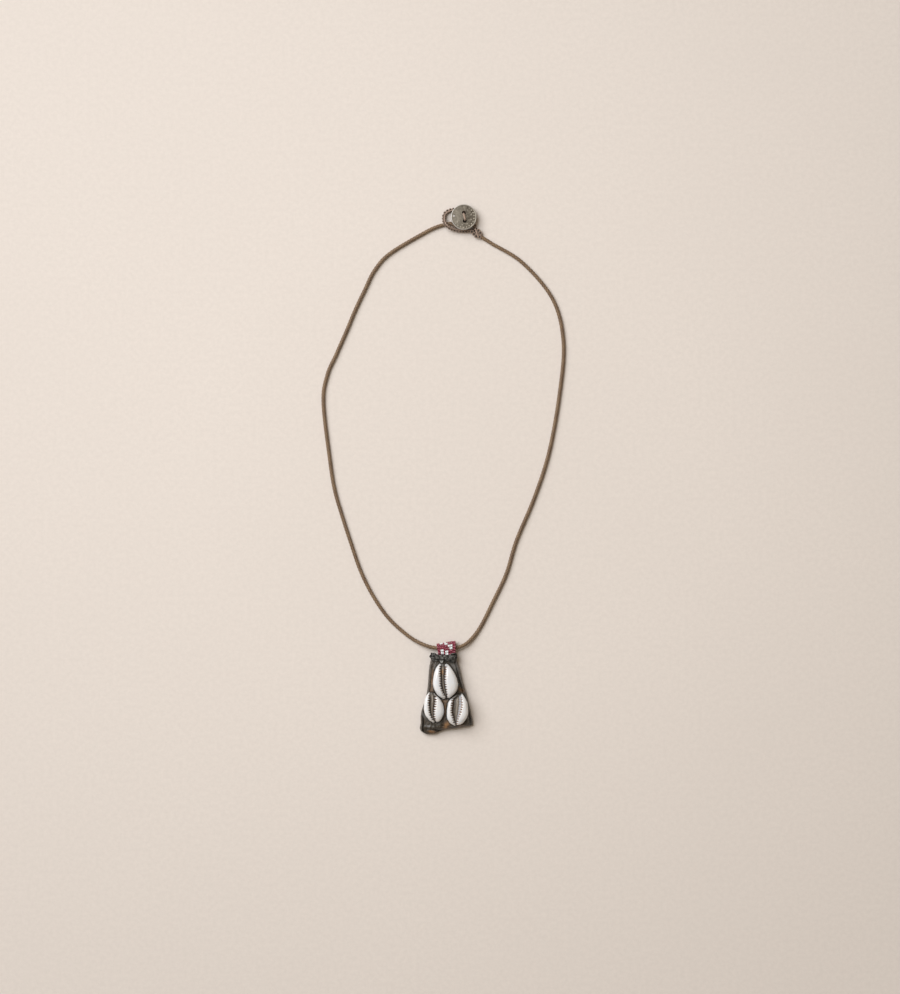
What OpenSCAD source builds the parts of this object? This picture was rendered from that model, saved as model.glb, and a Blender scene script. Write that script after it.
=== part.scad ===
// Cowrie shell amulet on a braided neck cord, lying face up on a flat surface
// at z = 0. Millimetres: X runs to the right, Y up towards the coin button,
// and the origin is on the surface under the middle of the pendant.

/* [Leather packet] */
// Height of the leather in the middle of the packet
packet_crown = 6.2; // [5.6:0.1:7]
// Height of the folded leather along the side edges
edge_height = 2.7; // [2:0.1:3]
// Height of the deck that the shells are set on
seat_height = 4.6; // [4:0.1:5]
// Depth of the groove inside each side edge
groove_depth = 0.5; // [0:0.1:0.8]
// Depth of the creases in the folded corners
crease_depth = 0.9; // [0:0.1:1.2]

/* [Cowrie shells] */
// Height of the upper shell above the deck
top_shell_rise = 5.4; // [4:0.1:6]
// Height of the two lower shells above the deck
lower_shell_rise = 4.9; // [4:0.1:6]
// Depth of the notches between the teeth
tooth_depth = 0.55; // [0.2:0.05:0.7]
// Room between the deck and a shell
seat_gap = 0.1; // [0.05:0.05:0.2]

/* [Bead bail] */
// Width of the woven band, along the cord
bail_width = 9.4; // [8:0.1:9.4]
// Thickness of the folded band, from back to front
bail_depth = 5.5; // [5.2:0.1:5.5]
// Thickness of one layer of beads
bead_wall = 1.45; // [1.1:0.05:1.5]
// Turn of the band on the cord, in degrees
bail_turn = 5; // [0:1:6]

/* [Neck binding] */
// Thickness of the winding round the neck of the packet
wrap_thickness = 1; // [0.8:0.1:1.1]
// How far the winding reaches up beside the beads
wrap_side_reach = 2.2; // [0.5:0.1:2.4]

/* [Cord] */
// Diameter of the braided cord
cord_d = 2; // [1.6:0.1:2]

/* [Button and loop] */
// Diameter of the coin
coin_d = 13.9; // [12.5:0.1:15]
// Thickness of the coin
coin_t = 1.2; // [1:0.1:1.4]
// Diameter of the two sewing holes
hole_d = 2.2; // [2:0.1:2.6]
// Distance between the sewing holes
hole_pitch = 4.5; // [4:0.1:5]
// Diameter of the small hole near the edge of the coin
edge_hole_d = 1.3; // [1:0.1:1.6]
// Height of the worn relief on the coin
relief_h = 0.16; // [0.1:0.02:0.2]
// Lean of the coin on its loop, in degrees
coin_lean = 7; // [4:1:8]
// Diameter of the sewing thread
thread_d = 1.2; // [0.8:0.1:1.3]
// Diameter of the stitched loop without its edge bumps
loop_d = 2; // [1.7:0.1:2]
// Height of the bumps that the stitches make on the outer edge
purl_h = 0.35; // [0:0.05:0.5]

/* [Hidden] */

// Sections across the packet, from its bound neck to its foot
// left x, left y, right x, right y, part of the full height, height of the underside
packet_rows = [
    [-6.4, 17.0, 4.0, 17.0, 0.78, 1.8],
    [-6.9, 16.3, 4.4, 16.3, 0.84, 1.5],
    [-7.0, 15.6, 4.5, 15.6, 0.84, 1.5],
    [-7.0, 14.7, 4.5, 14.7, 0.84, 1.5],
    [-8.5, 14.2, 5.9, 14.1, 0.92, 0.7],
    [-8.9, 13.6, 6.4, 13.5, 0.96, 0.2],
    [-9.3, 11.7, 6.9, 11.6, 1.00, 0.0],
    [-9.6, 8.3, 7.8, 8.0, 1.00, 0.0],
    [-9.8, 5.0, 8.5, 4.6, 1.00, 0.0],
    [-10.1, 1.6, 9.4, 1.4, 1.00, 0.0],
    [-10.5, -1.8, 10.4, -1.8, 1.00, 0.0],
    [-11.2, -5.2, 11.3, -5.0, 1.00, 0.0],
    [-12.3, -8.8, 12.2, -8.6, 1.00, 0.0],
    [-13.5, -12.4, 13.0, -12.0, 1.00, 0.0],
    [-14.0, -15.8, 13.7, -15.2, 0.98, 0.0],
    [-14.0, -19.2, 14.3, -17.8, 0.94, 0.0],
    [-14.5, -21.9, 14.5, -19.4, 0.86, 0.0],
    [-14.0, -23.5, 14.4, -20.3, 0.66, 0.2],
    [-13.3, -24.0, 14.0, -20.7, 0.46, 0.5],
];
// Lengthening of the foot, most of it near the left corner, over this many last rows
foot_sag = 2.05;
foot_rows = 4;
// How far the underside is drawn in from both side edges
tuck = 0.9;

// Creases pressed into the leather
// from x, from y, to x, to y, half width, part of the crease depth
creases = [
    [-13.0, -13.5, -12.7, -23.0, 0.6, 1.0],
    [-12.5, -22.4, -5.0, -23.6, 0.6, 0.7],
    [11.4, -9.0, 13.6, -19.4, 0.5, 0.7],
    [10.6, -18.9, 13.9, -16.4, 0.5, 0.5],
    [-8.6, 12.5, -7.6, 7.0, 0.5, 0.5],
    [7.0, -0.2, 9.2, -1.6, 0.5, 0.6],
    [-1.4, -6.8, -1.8, -20.5, 0.7, 0.6],
    [4.4, 13.8, 8.2, 0.4, 0.5, 0.5],
];

// Sections across each shell, from its upper to its lower end
// y, outer left, slit left, slit right, outer right
top_rows = [
    [12.8, -4.4, -2.9, -0.8, 1.3],
    [11.3, -5.6, -3.1, -0.7, 2.6],
    [9.4, -6.4, -3.0, -0.8, 3.9],
    [7.5, -6.9, -3.0, -1.0, 4.9],
    [5.6, -7.2, -2.9, -1.0, 5.7],
    [3.6, -7.4, -2.8, -1.0, 6.2],
    [1.7, -7.3, -2.7, -0.8, 6.5],
    [-0.5, -6.8, -2.2, -0.4, 6.1],
    [-2.1, -6.0, -1.6, -0.2, 5.3],
    [-3.6, -5.0, -0.8, 0.2, 4.0],
    [-4.9, -3.4, -0.4, 0.5, 2.6],
];
left_rows = [
    [-3.2, -10.3, -9.2, -7.0, -6.1],
    [-4.1, -11.0, -9.2, -6.6, -5.2],
    [-5.9, -11.8, -9.2, -6.3, -3.4],
    [-7.8, -12.2, -9.3, -6.4, -2.2],
    [-9.7, -12.3, -9.2, -6.7, -1.6],
    [-11.6, -12.3, -9.1, -6.9, -1.3],
    [-13.5, -12.0, -8.7, -7.0, -1.4],
    [-15.4, -11.2, -8.1, -6.9, -1.9],
    [-17.3, -9.7, -7.1, -6.3, -2.9],
    [-18.3, -8.5, -6.4, -5.7, -3.9],
];
right_rows = [
    [-4.2, 4.4, 6.0, 7.9, 9.6],
    [-5.9, 2.3, 4.1, 7.9, 10.6],
    [-7.8, 1.0, 3.6, 8.1, 11.4],
    [-9.7, 0.6, 3.4, 8.1, 11.8],
    [-11.6, 0.3, 3.2, 7.7, 12.0],
    [-13.5, 0.2, 3.3, 7.3, 12.0],
    [-15.4, 0.2, 3.8, 6.6, 11.6],
    [-17.3, 0.7, 4.3, 5.9, 10.6],
    [-19.2, 2.0, 4.8, 5.6, 9.1],
    [-20.0, 3.3, 5.0, 5.7, 7.6],
];
// Ends of a shell: left lip, notch of the slit, right lip, each as x and y
top_ends = [[-3.3, 13.6], [-1.8, 13.3], [-0.1, 13.5], [-1.0, -6.2], [0.2, -5.9], [1.3, -5.7]];
left_ends = [[-9.2, -2.0], [-8.0, -2.4], [-6.9, -2.5], [-6.8, -19.2], [-5.9, -18.9], [-4.9, -18.5]];
right_ends = [[5.3, -3.5], [6.7, -3.3], [8.3, -2.9], [4.7, -20.7], [5.4, -20.6], [6.6, -20.2]];
// How far the left and the right wall lean into the slit, as parts of its width
top_lean = [0.08, 0.08];
left_lean = [0.1, 0.15];
right_lean = [0.08, 0.5];

// Heights up a lip, from its outer foot over the crest to the bottom of the slit
// part of the way across, part of the rise
lip_profile = [
    [0.10, 0.00], [0.00, 0.20], [0.05, 0.48], [0.18, 0.74], [0.38, 0.93],
    [0.60, 1.00], [0.82, 0.96], [0.96, 0.82], [1.00, 0.62], [1.00, 0.00],
];

// Route of the cord, from under the coin through the bail to the stitched shank
// x, y, height of its middle
cord_route = [
    [9.5, 257.5, 1], [8.5, 254.5, 1], [5.5, 253.8, 1], [2.5, 255.2, 1], [-1, 254.6, 1],
    [-5, 253.5, 1], [-12, 250.2, 1], [-31, 238.8, 1], [-39.5, 229.5, 1],
    [-45, 218.5, 1], [-50, 208, 1], [-55, 196, 1], [-60.5, 183.5, 1], [-65.5, 172, 1],
    [-67.7, 157, 1], [-64.2, 126, 1], [-61.5, 109, 1], [-57.5, 95, 1],
    [-52.5, 79.5, 1], [-47, 63.8, 1], [-40, 50, 1], [-31.5, 38, 1], [-20.5, 28.2, 1.1],
    [-12, 23.6, 2.2], [-5, 21.9, 2.75], [1, 21.7, 2.75], [6, 22.1, 2.7], [12, 25.2, 1.9],
    [18.5, 33.2, 1], [25.5, 47, 1], [33, 63, 1], [38.5, 81, 1], [48.5, 105, 1],
    [56.5, 130, 1], [62.2, 162, 1], [64.3, 190, 1], [58.5, 213.5, 1], [42, 233.5, 1],
    [25, 244.2, 1], [18.7, 248.1, 1],
];
cord_steps = 2;

// Middle of the stitched loop, from one leg at the shank round to the other
// x, y, height of its middle
loop_route = [
    [13.4, 251.3, 1.15], [11.6, 250.9, 1.15], [9, 250.9, 1.2], [6, 251.3, 1.5], [3.2, 252.3, 2.3],
    [1.2, 253.5, 3.0], [-0.1, 254.7, 3.2], [-1, 256.2, 2.7], [-1.2, 258, 1.8], [-1, 260.2, 1.3],
    [0.2, 261.9, 1.15], [2.4, 262.8, 1.15], [5.2, 263, 1.15], [8.4, 262.8, 1.15], [11.4, 261.4, 1.15],
    [13.6, 258.8, 1.15], [14.8, 255.9, 1.15], [15.3, 253.3, 1.15],
];
loop_steps = 3;

// Ends of the whipped shank, x and y
shank_from = [14.85, 252.0];
shank_to = [18.4, 248.3];

// Middle of the coin, and its holes seen from there
coin_at = [9.55, 258.6, 4.1];
edge_hole_at = [-5.4, 0.6];
holes_at = [0.25, 0.05];
holes_turn = 5;

// Winding round the neck: x and height of its middle, half its width and height inside
wrap_middle = [-1.2, 3.3];
wrap_half = [6.25, 2.2];
wrap_front = 14.85;
wrap_width = 2.35;
wrap_strands = 3;

// Sections of the packet between two rows, and places across one section
packet_steps = 3;
packet_columns = 30;
// Level ground left round a shell before the leather rises, and how steeply it rises
deck_margin = 0.9;
deck_bank = 1.6;

// Middle of the bail, and how far its band reaches down and up from there
bail_at = [-0.3, 21.5];
bail_foot = 3.45;
bail_bend = 1.0;

// Points of a smooth line through a list of points, all columns at once
function spline(points, t) = let(
    last = len(points) - 1,
    i = min(floor(t), last - 1),
    f = t - i,
    a = points[max(i - 1, 0)],
    b = points[i],
    c = points[i + 1],
    d = points[min(i + 2, last)]
) 0.5 * (2 * b + (c - a) * f + (2 * a - 5 * b + 4 * c - d) * f * f + (3 * b - a - 3 * c + d) * f * f * f);
function smooth_line(points, steps) =
    [for (i = [0 : (len(points) - 1) * steps]) spline(points, i / steps)];

// Triangles between rings of points, closed with a cap at each end or with a join
function ring_faces(rings, size, joined = false) = concat(
    [for (i = [0 : rings - (joined ? 1 : 2)]) for (j = [0 : size - 1]) let(
        k = (j + 1) % size,
        n = (i + 1) % rings
    ) each [[i * size + j, i * size + k, n * size + k], [i * size + j, n * size + k, n * size + j]]],
    joined ? [] : [for (j = [1 : size - 2]) each [[0, j + 1, j],
        [(rings - 1) * size, (rings - 1) * size + j, (rings - 1) * size + j + 1]]]
);
module rings_solid(rings, joined = false) {
    polyhedron([for (ring = rings) each ring], ring_faces(len(rings), len(rings[0]), joined), convexity = 10);
}

// Direction of a line of points, and the level direction to its right
function way(line, i) = let(d = line[min(i + 1, len(line) - 1)] - line[max(i - 1, 0)]) d / norm(d);
function beside(d) = let(s = [d[1], -d[0], 0]) s / norm(s);
// Ring of points round one place of a line; radii holds one radius a corner
function tube_ring(p, d, radii) = let(s = beside(d), u = cross(s, d), n = len(radii))
    [for (k = [0 : n - 1]) let(a = (k + 0.5) * 360 / n) p + radii[k] * (cos(a) * s + sin(a) * u)];

// Outline of a shell from above: down its left side, then up its right side
function outline(rows, ends) = let(n = len(rows) - 1) concat(
    [ends[0]],
    [for (i = [0 : n]) [rows[i][1], rows[i][0]]],
    [ends[3], ends[5]],
    [for (i = [n : -1 : 0]) [rows[i][4], rows[i][0]]],
    [ends[2]]
);
outlines = [outline(top_rows, top_ends), outline(left_rows, left_ends), outline(right_rows, right_ends)];
// How far a place lies outside an outline, negative within it
function outside(line, p) = max([for (i = [0 : len(line) - 1]) let(
    d = line[(i + 1) % len(line)] - line[i]
) ((p[0] - line[i][0]) * d[1] - (p[1] - line[i][1]) * d[0]) / norm(d)]);
// Height of the deck near the shells: level under them, rising round their sides
function deck(p) = let(d = min([for (line = outlines) outside(line, p)]))
    seat_height + deck_bank * max(0, d - deck_margin);

// Depth of all creases at a place
function crease_at(x, y, i = 0) = i == len(creases) ? 0 : let(
    c = creases[i],
    a = [c[0], c[1]],
    b = [c[2], c[3]],
    t = max(0, min(1, (([x, y] - a) * (b - a)) / ((b - a) * (b - a)))),
    far = norm([x, y] - a - t * (b - a)) / c[4]
) c[5] * exp(-far * far) + crease_at(x, y, i + 1);

// Height of the leather at a place; s runs from 0 at the left to 1 at the right edge
function leather(x, y, s, width, part, under) = let(
    edge = min(s, 1 - s) * width,
    round = pow(max(0, 1 - pow(abs(2 * s - 1), 3.4)), 0.55),
    crown = edge_height * part + (packet_crown - edge_height) * part * round,
    groove = groove_depth * exp(-pow((edge - 1.4) / 0.5, 2)),
    top = crown - groove - crease_depth * crease_at(x, y)
) max(under + 0.6, min(top, deck([x, y])));

// Closed section across the packet: over the top from right to left, then back under
function packet_ring(row, sag) = let(
    a = [row[0], row[1]],
    b = [row[2], row[3]],
    width = norm(b - a),
    part = row[4],
    under = max(0, row[5]),
    side = under + edge_height * part * 0.45
) concat(
    [[b[0] - tuck, b[1], under], [b[0], b[1], side]],
    [for (k = [0 : packet_columns]) let(
        s = 1 - (k + 0.35) / (packet_columns + 0.7),
        p = a + (b - a) * s,
        y = p[1] - sag * sin(180 * pow(s, 0.35))
    ) [p[0], y, leather(p[0], y, s, width, part, under)]],
    [[a[0], a[1], side], [a[0] + tuck, a[1], under]]
);

module packet() {
    rows = smooth_line(packet_rows, packet_steps);
    color("#2e2b29")
        rings_solid([for (i = [0 : len(rows) - 1]) let(
            left = (len(rows) - 1 - i) / packet_steps,
            sag = foot_sag * pow(max(0, 1 - left / foot_rows), 1.5)
        ) packet_ring(rows[i], sag)]);
}

// One section of a lip between its outer foot and its edge on the slit
function lip_ring(outer, inner, rise, lean) = let(base = seat_height + seat_gap)
    [for (k = [0 : len(lip_profile) - 1]) let(
        f = lip_profile[k],
        p = outer + (inner - outer) * f[0] + (k == len(lip_profile) - 1 ? [lean, 0] : [0, 0])
    ) [p[0], p[1], base + rise * f[1]]];
// Height of a shell along its length, lower towards both ends
function shell_rise(rise, y, ends) = let(
    top = max(ends[0][1], ends[2][1]),
    foot = min(ends[3][1], ends[5][1]),
    t = abs(2 * (y - foot) / (top - foot) - 1)
) rise * max(0.42, pow(max(0, 1 - pow(t, 3.2)), 0.5));

// A cut shell: lips joined round an open slit, sections from end to end and back
module cowrie(rows, ends, lean, rise) {
    line = smooth_line(rows, 3);
    n = len(line) - 1;
    tooth = function(i) i > 1 && i < n - 1 && i % 2 == 1 ? tooth_depth : 0;
    left = [for (i = [0 : n]) let(r = line[i])
        lip_ring([r[1], r[0]], [r[2] - tooth(i), r[0]], shell_rise(rise, r[0], ends), lean[0] * (r[3] - r[2]))];
    right = [for (i = [n : -1 : 0]) let(r = line[i])
        lip_ring([r[4], r[0]], [r[3] + tooth(i), r[0]], shell_rise(rise, r[0], ends), lean[1] * (r[2] - r[3]))];
    top_y = line[0][0] + 0.1;
    foot_y = line[n][0] - 0.1;
    low = 0.36;
    top_end = [
        lip_ring(ends[2], [line[0][3] - 0.1, top_y], rise * low, 0),
        lip_ring(ends[1], [(line[0][2] + line[0][3]) / 2, top_y + 0.1], rise * 0.25, 0),
        lip_ring(ends[0], [line[0][2] + 0.1, top_y], rise * low, 0),
    ];
    foot_end = [
        lip_ring(ends[3], [line[n][2] + 0.1, foot_y], rise * low, 0),
        lip_ring(ends[4], [(line[n][2] + line[n][3]) / 2, foot_y - 0.1], rise * 0.25, 0),
        lip_ring(ends[5], [line[n][3] - 0.1, foot_y], rise * low, 0),
    ];
    color("#efece8")
        rings_solid(concat(left, foot_end, right, top_end), joined = true);
}
module cowrie_top() {
    cowrie(top_rows, top_ends, top_lean, top_shell_rise);
}
module cowrie_left() {
    cowrie(left_rows, left_ends, left_lean, lower_shell_rise);
}
module cowrie_right() {
    cowrie(right_rows, right_ends, right_lean, lower_shell_rise);
}

// Side view of the folded band of beads: y to the right, z up
module band_outline(wall) {
    r = bail_depth / 2 - wall;
    back = wall == 0 ? -bail_foot : -bail_foot + wall + r;
    translate([bail_bend + wall / 8, bail_depth / 2])
        circle(r = r, $fn = 48);
    translate([back, wall])
        square([bail_bend + wall / 8 - back, 2 * r]);
    if (wall > 0)
        translate([back, bail_depth / 2])
            circle(r = r, $fn = 48);
}
module bead_bail() {
    color("#a52d4b")
        translate([bail_at[0], bail_at[1], 0])
            rotate([0, 0, bail_turn])
                rotate([90, 0, 90])
                    linear_extrude(height = bail_width, center = true)
                        difference() {
                            band_outline(0);
                            band_outline(bead_wall);
                        }
}

// Winding round the neck: three strands wide at the sides, level with the beads in front
module lashing() {
    stations = 28;
    color("#262422")
        rings_solid([for (i = [0 : stations - 1]) let(
            a = -360 * i / stations,
            c = cos(a),
            s = sin(a),
            bulge = [sign(c) * pow(abs(c), 0.4), sign(s) * pow(abs(s), 0.4)],
            reach = wrap_side_reach * pow(abs(c), 6),
            width = wrap_width + reach
        ) concat(
            [for (k = [0 : 2 * wrap_strands]) let(
                y = wrap_front + width * k / (2 * wrap_strands),
                out = k % 2 == 1 ? wrap_thickness : wrap_thickness * (k == 0 || k == 2 * wrap_strands ? 0.5 : 0.72)
            ) [wrap_middle[0] + bulge[0] * (wrap_half[0] + out), y,
                wrap_middle[1] + bulge[1] * (wrap_half[1] + out)]],
            [for (y = [wrap_front + width, wrap_front])
                [wrap_middle[0] + bulge[0] * wrap_half[0], y, wrap_middle[1] + bulge[1] * wrap_half[1]]]
        )], joined = true);
}

module neck_cord() {
    // Corner radius that gives eight sides the area of a round cord
    r = cord_d / 2 * 1.05;
    line = [for (p = smooth_line(cord_route, cord_steps)) [p[0], p[1], max(p[2], r * 0.94)]];
    color("#7d6448")
        rings_solid([for (i = [0 : len(line) - 1])
            tube_ring(line[i], way(line, i), [for (k = [0 : 7]) r])]);
}

// The loop, with a bump on its outer edge at every other ring
module button_loop() {
    line = smooth_line(loop_route, loop_steps);
    r = loop_d / 2;
    color("#8a6f55")
        rings_solid([for (i = [0 : len(line) - 1]) let(
            bump = i % 2 == 1 ? purl_h : -0.1
        ) tube_ring(line[i], way(line, i), [for (k = [0 : 7]) r + (k > 1 && k < 6 ? bump * -cos((k + 0.5) * 45) : 0)])]);
}

// Whipping over both legs of the loop, with a ridge for each turn
module loop_shank() {
    turns = 4;
    corners = 12;
    along = [shank_to[0] - shank_from[0], shank_to[1] - shank_from[1], 0];
    dir = along / norm(along);
    color("#84694f")
        rings_solid([for (i = [0 : 2 * turns]) let(
            t = i / (2 * turns),
            p = [shank_from[0], shank_from[1], 0] + along * (0.03 + 0.94 * t),
            end = i == 0 || i == 2 * turns ? 0.82 : 1,
            half = (2.15 - 0.5 * t) * end * (i % 2 == 1 ? 1 : 0.86),
            high = (1.25 - 0.15 * t) * end * (i % 2 == 1 ? 1 : 0.92)
        ) [for (k = [0 : corners - 1]) let(a = (k + 0.5) * 360 / corners)
            p + cos(a) * half * beside(dir) + [0, 0, 1.25 + sin(a) * high]]]);
}

module in_coin_frame() {
    translate(coin_at)
        rotate(a = coin_lean, v = [-1, 1, 0])
            children();
}

// Worn relief: a ring of pellets round a wreath of leaves, well clear of the holes
module coin_relief() {
    pellets = 22;
    pellet_ring = coin_d / 2 - 1.15;
    leaves = 9;
    leaf_ring = coin_d / 2 - 2.5;
    for (i = [0 : pellets - 1]) {
        a = (i + 0.5) * 360 / pellets;
        at_pellet = pellet_ring * [cos(a), sin(a)];
        if (norm(at_pellet - edge_hole_at) > edge_hole_d)
            translate([at_pellet[0], at_pellet[1], coin_t / 2 - 0.1])
                cylinder(d = 0.8, h = 0.1 + relief_h, $fn = 24);
    }
    for (i = [0 : leaves - 1]) {
        a = (i + 0.5) * 360 / leaves;
        at_leaf = leaf_ring * [cos(a), sin(a)];
        if (norm(at_leaf - edge_hole_at) > edge_hole_d + 0.5)
            translate([at_leaf[0], at_leaf[1], coin_t / 2 - 0.1])
                rotate(a + 40)
                    linear_extrude(height = 0.1 + relief_h)
                        intersection() {
                            translate([0, 0.75])
                                circle(r = 1.15, $fn = 36);
                            translate([0, -0.75])
                                circle(r = 1.15, $fn = 36);
                        }
    }
}

module coin_button() {
    r = coin_d / 2;
    h = coin_t / 2;
    color("#8b897f")
        in_coin_frame()
            difference() {
                union() {
                    rotate_extrude($fn = 96)
                        polygon([[0, -h], [r - 0.25, -h], [r, -h + 0.25], [r, h - 0.1],
                            [r - 0.25, h + 0.12], [r - 0.5, h + 0.12], [r - 0.65, h], [0, h]]);
                    coin_relief();
                }
                translate([holes_at[0], holes_at[1], 0])
                    rotate([0, 0, holes_turn])
                        for (side = [-1, 1])
                            translate([0, side * hole_pitch / 2, -coin_t])
                                cylinder(d = hole_d, h = 2 * coin_t, $fn = 48);
                translate([edge_hole_at[0], edge_hole_at[1], -coin_t])
                    cylinder(d = edge_hole_d, h = 2 * coin_t, $fn = 36);
            }
}

// One strand that runs over the coin between its holes and back underneath
module button_thread() {
    stations = 24;
    corners = 8;
    half = hole_pitch / 2;
    rise = coin_t / 2 + relief_h + thread_d / 2 + 0.1;
    color("#b39a86")
        in_coin_frame()
            translate([holes_at[0], holes_at[1], 0])
                rotate([0, 0, holes_turn])
                    rings_solid([for (i = [0 : stations - 1]) let(
                        place = function(a) [0, half * sign(cos(a)) * pow(abs(cos(a)), 0.5),
                            rise * sign(sin(a)) * pow(abs(sin(a)), 0.5)],
                        a = (i + 0.5) * 360 / stations,
                        d = place(a + 2) - place(a - 2),
                        out = cross(d / norm(d), [1, 0, 0])
                    ) [for (k = [0 : corners - 1]) let(b = k * 360 / corners)
                        place(a) + thread_d / 2 * (cos(b) * [1, 0, 0] + sin(b) * out)]], joined = true);
}

packet();
cowrie_top();
cowrie_left();
cowrie_right();
bead_bail();
lashing();
neck_cord();
button_loop();
loop_shank();
coin_button();
button_thread();
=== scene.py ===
"""Cowrie shell amulet on a braided neck cord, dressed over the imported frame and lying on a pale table."""
import math
import random

import bpy
from bpy.props import FloatProperty, FloatVectorProperty, IntProperty, PointerProperty
from mathutils import Matrix, Vector, noise


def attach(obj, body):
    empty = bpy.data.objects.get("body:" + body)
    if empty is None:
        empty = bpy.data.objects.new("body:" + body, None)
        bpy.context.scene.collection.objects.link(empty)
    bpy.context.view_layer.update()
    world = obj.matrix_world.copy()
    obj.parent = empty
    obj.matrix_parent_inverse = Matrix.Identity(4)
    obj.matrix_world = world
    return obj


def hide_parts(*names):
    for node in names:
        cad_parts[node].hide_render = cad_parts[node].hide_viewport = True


bl_info = {
    "name": "Cowrie amulet",
    "version": (1, 0, 0),
    "blender": (4, 5, 0),
    "location": "View3D > Sidebar > Amulet",
    "description": "Builds a cowrie shell amulet on its neck cord, piece by piece",
    "category": "Object",
}

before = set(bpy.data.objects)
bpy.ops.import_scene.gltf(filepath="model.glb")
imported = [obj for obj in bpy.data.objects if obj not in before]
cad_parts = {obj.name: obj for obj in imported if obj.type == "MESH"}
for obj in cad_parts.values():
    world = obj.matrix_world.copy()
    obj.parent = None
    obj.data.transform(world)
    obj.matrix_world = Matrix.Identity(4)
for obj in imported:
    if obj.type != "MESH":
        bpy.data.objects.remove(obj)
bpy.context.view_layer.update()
MM = 0.001
UP = Vector((0, 0, 1))

# The tables below are in millimetres, and in degrees where they turn something

# Route of the cord from under the coin through the bail to the shank
CORD_ROUTE = [
    (9.5, 257.5, 1), (8.5, 254.5, 1), (5.5, 253.8, 1), (2.5, 255.2, 1), (-1, 254.6, 1), (-5, 253.5, 1),
    (-12, 250.2, 1), (-31, 238.8, 1), (-39.5, 229.5, 1), (-45, 218.5, 1), (-50, 208, 1), (-55, 196, 1),
    (-60.5, 183.5, 1), (-65.5, 172, 1), (-67.7, 157, 1), (-64.2, 126, 1), (-61.5, 109, 1), (-57.5, 95, 1),
    (-52.5, 79.5, 1), (-47, 63.8, 1), (-40, 50, 1), (-31.5, 38, 1), (-20.5, 28.2, 1.1), (-12, 23.6, 2.2),
    (-5, 21.9, 2.75), (1, 21.7, 2.75), (6, 22.1, 2.7), (12, 25.2, 1.9), (18.5, 33.2, 1), (25.5, 47, 1),
    (33, 63, 1), (38.5, 81, 1), (48.5, 105, 1), (56.5, 130, 1), (62.2, 162, 1), (64.3, 190, 1),
    (58.5, 213.5, 1), (42, 233.5, 1), (25, 244.2, 1), (18.7, 248.1, 1),
]
CORD_STEP = 0.2
CORD_CORNERS = 24

# Middle of the stitched loop
LOOP_ROUTE = [
    (13.4, 251.5, 1.15), (11.6, 251.3, 1.15), (9, 251.4, 1.2), (6, 251.6, 1.5), (3.2, 252.4, 2.3),
    (1.1, 253.4, 3.0), (-0.2, 254.7, 3.2), (-1, 256.2, 2.7), (-1.2, 258, 1.8), (-0.9, 260.0, 1.3),
    (0.4, 261.5, 1.15), (2.5, 262.4, 1.15), (5.2, 262.7, 1.15), (8.4, 262.5, 1.15), (11.4, 261.3, 1.15),
    (13.6, 258.8, 1.15), (14.8, 255.9, 1.15), (15.3, 253.3, 1.15),
]
LOOP_CORE_RADIUS = 0.78
# The whipped shank: its two ends, the purls on it and their height, and the rib over it
SHANK_ENDS = [(14.85, 252.0, 1.2), (18.4, 248.3, 1.15)]
SHANK_PURLS = [(14.0, 250.6), (15.2, 249.4), (16.4, 248.2), (17.6, 251.2), (18.6, 250.0), (18.3, 247.9)]
SHANK_PURL_HEIGHT = 2.15
SHANK_WRAPS = 5
SHANK_RIB = [(15.8, 252.3, 2.2), (16.4, 251.0, 2.6), (17.0, 249.3, 2.6), (17.8, 247.6, 2.1)]

# Sections across the packet, from neck to foot:
# left x, left y, right x, right y, part of the full height, height of the underside
PACKET_ROWS = [
    (-7.5, 17.2, 4.9, 17.2, 0.76, 1.8), (-8.0, 16.5, 5.4, 16.5, 0.84, 1.4),
    (-8.4, 15.7, 5.7, 15.7, 0.90, 1.0), (-8.6, 14.9, 5.9, 14.9, 0.94, 0.6),
    (-8.8, 14.2, 6.1, 14.1, 0.96, 0.3), (-8.9, 13.4, 6.3, 13.3, 0.98, 0.1),
    (-9.3, 11.7, 6.9, 11.6, 1.00, 0.0), (-9.6, 8.3, 7.8, 8.0, 1.00, 0.0), (-9.8, 5.0, 8.5, 4.6, 1.00, 0.0),
    (-10.1, 1.6, 9.4, 1.4, 1.00, 0.0), (-10.5, -1.8, 10.4, -1.8, 1.00, 0.0),
    (-11.2, -5.2, 11.3, -5.0, 1.00, 0.0), (-12.3, -8.8, 12.2, -8.6, 1.00, 0.0),
    (-13.5, -12.4, 13.0, -12.0, 1.00, 0.0), (-14.0, -15.8, 13.7, -15.2, 0.98, 0.0),
    (-14.0, -19.2, 14.3, -17.8, 0.94, 0.0), (-14.5, -21.9, 14.5, -19.4, 0.86, 0.0),
    (-14.0, -23.5, 14.4, -20.3, 0.66, 0.2), (-13.3, -24.0, 14.0, -20.7, 0.46, 0.5),
]
# Corners of a section of the packet, and sections from neck to foot
PACKET_SEGMENTS = 192
PACKET_RINGS = 170
# Parts of the way round a section that the packet's top and each of its sides take
TOP_PART = 0.68
SIDE_PART = 0.05
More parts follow.
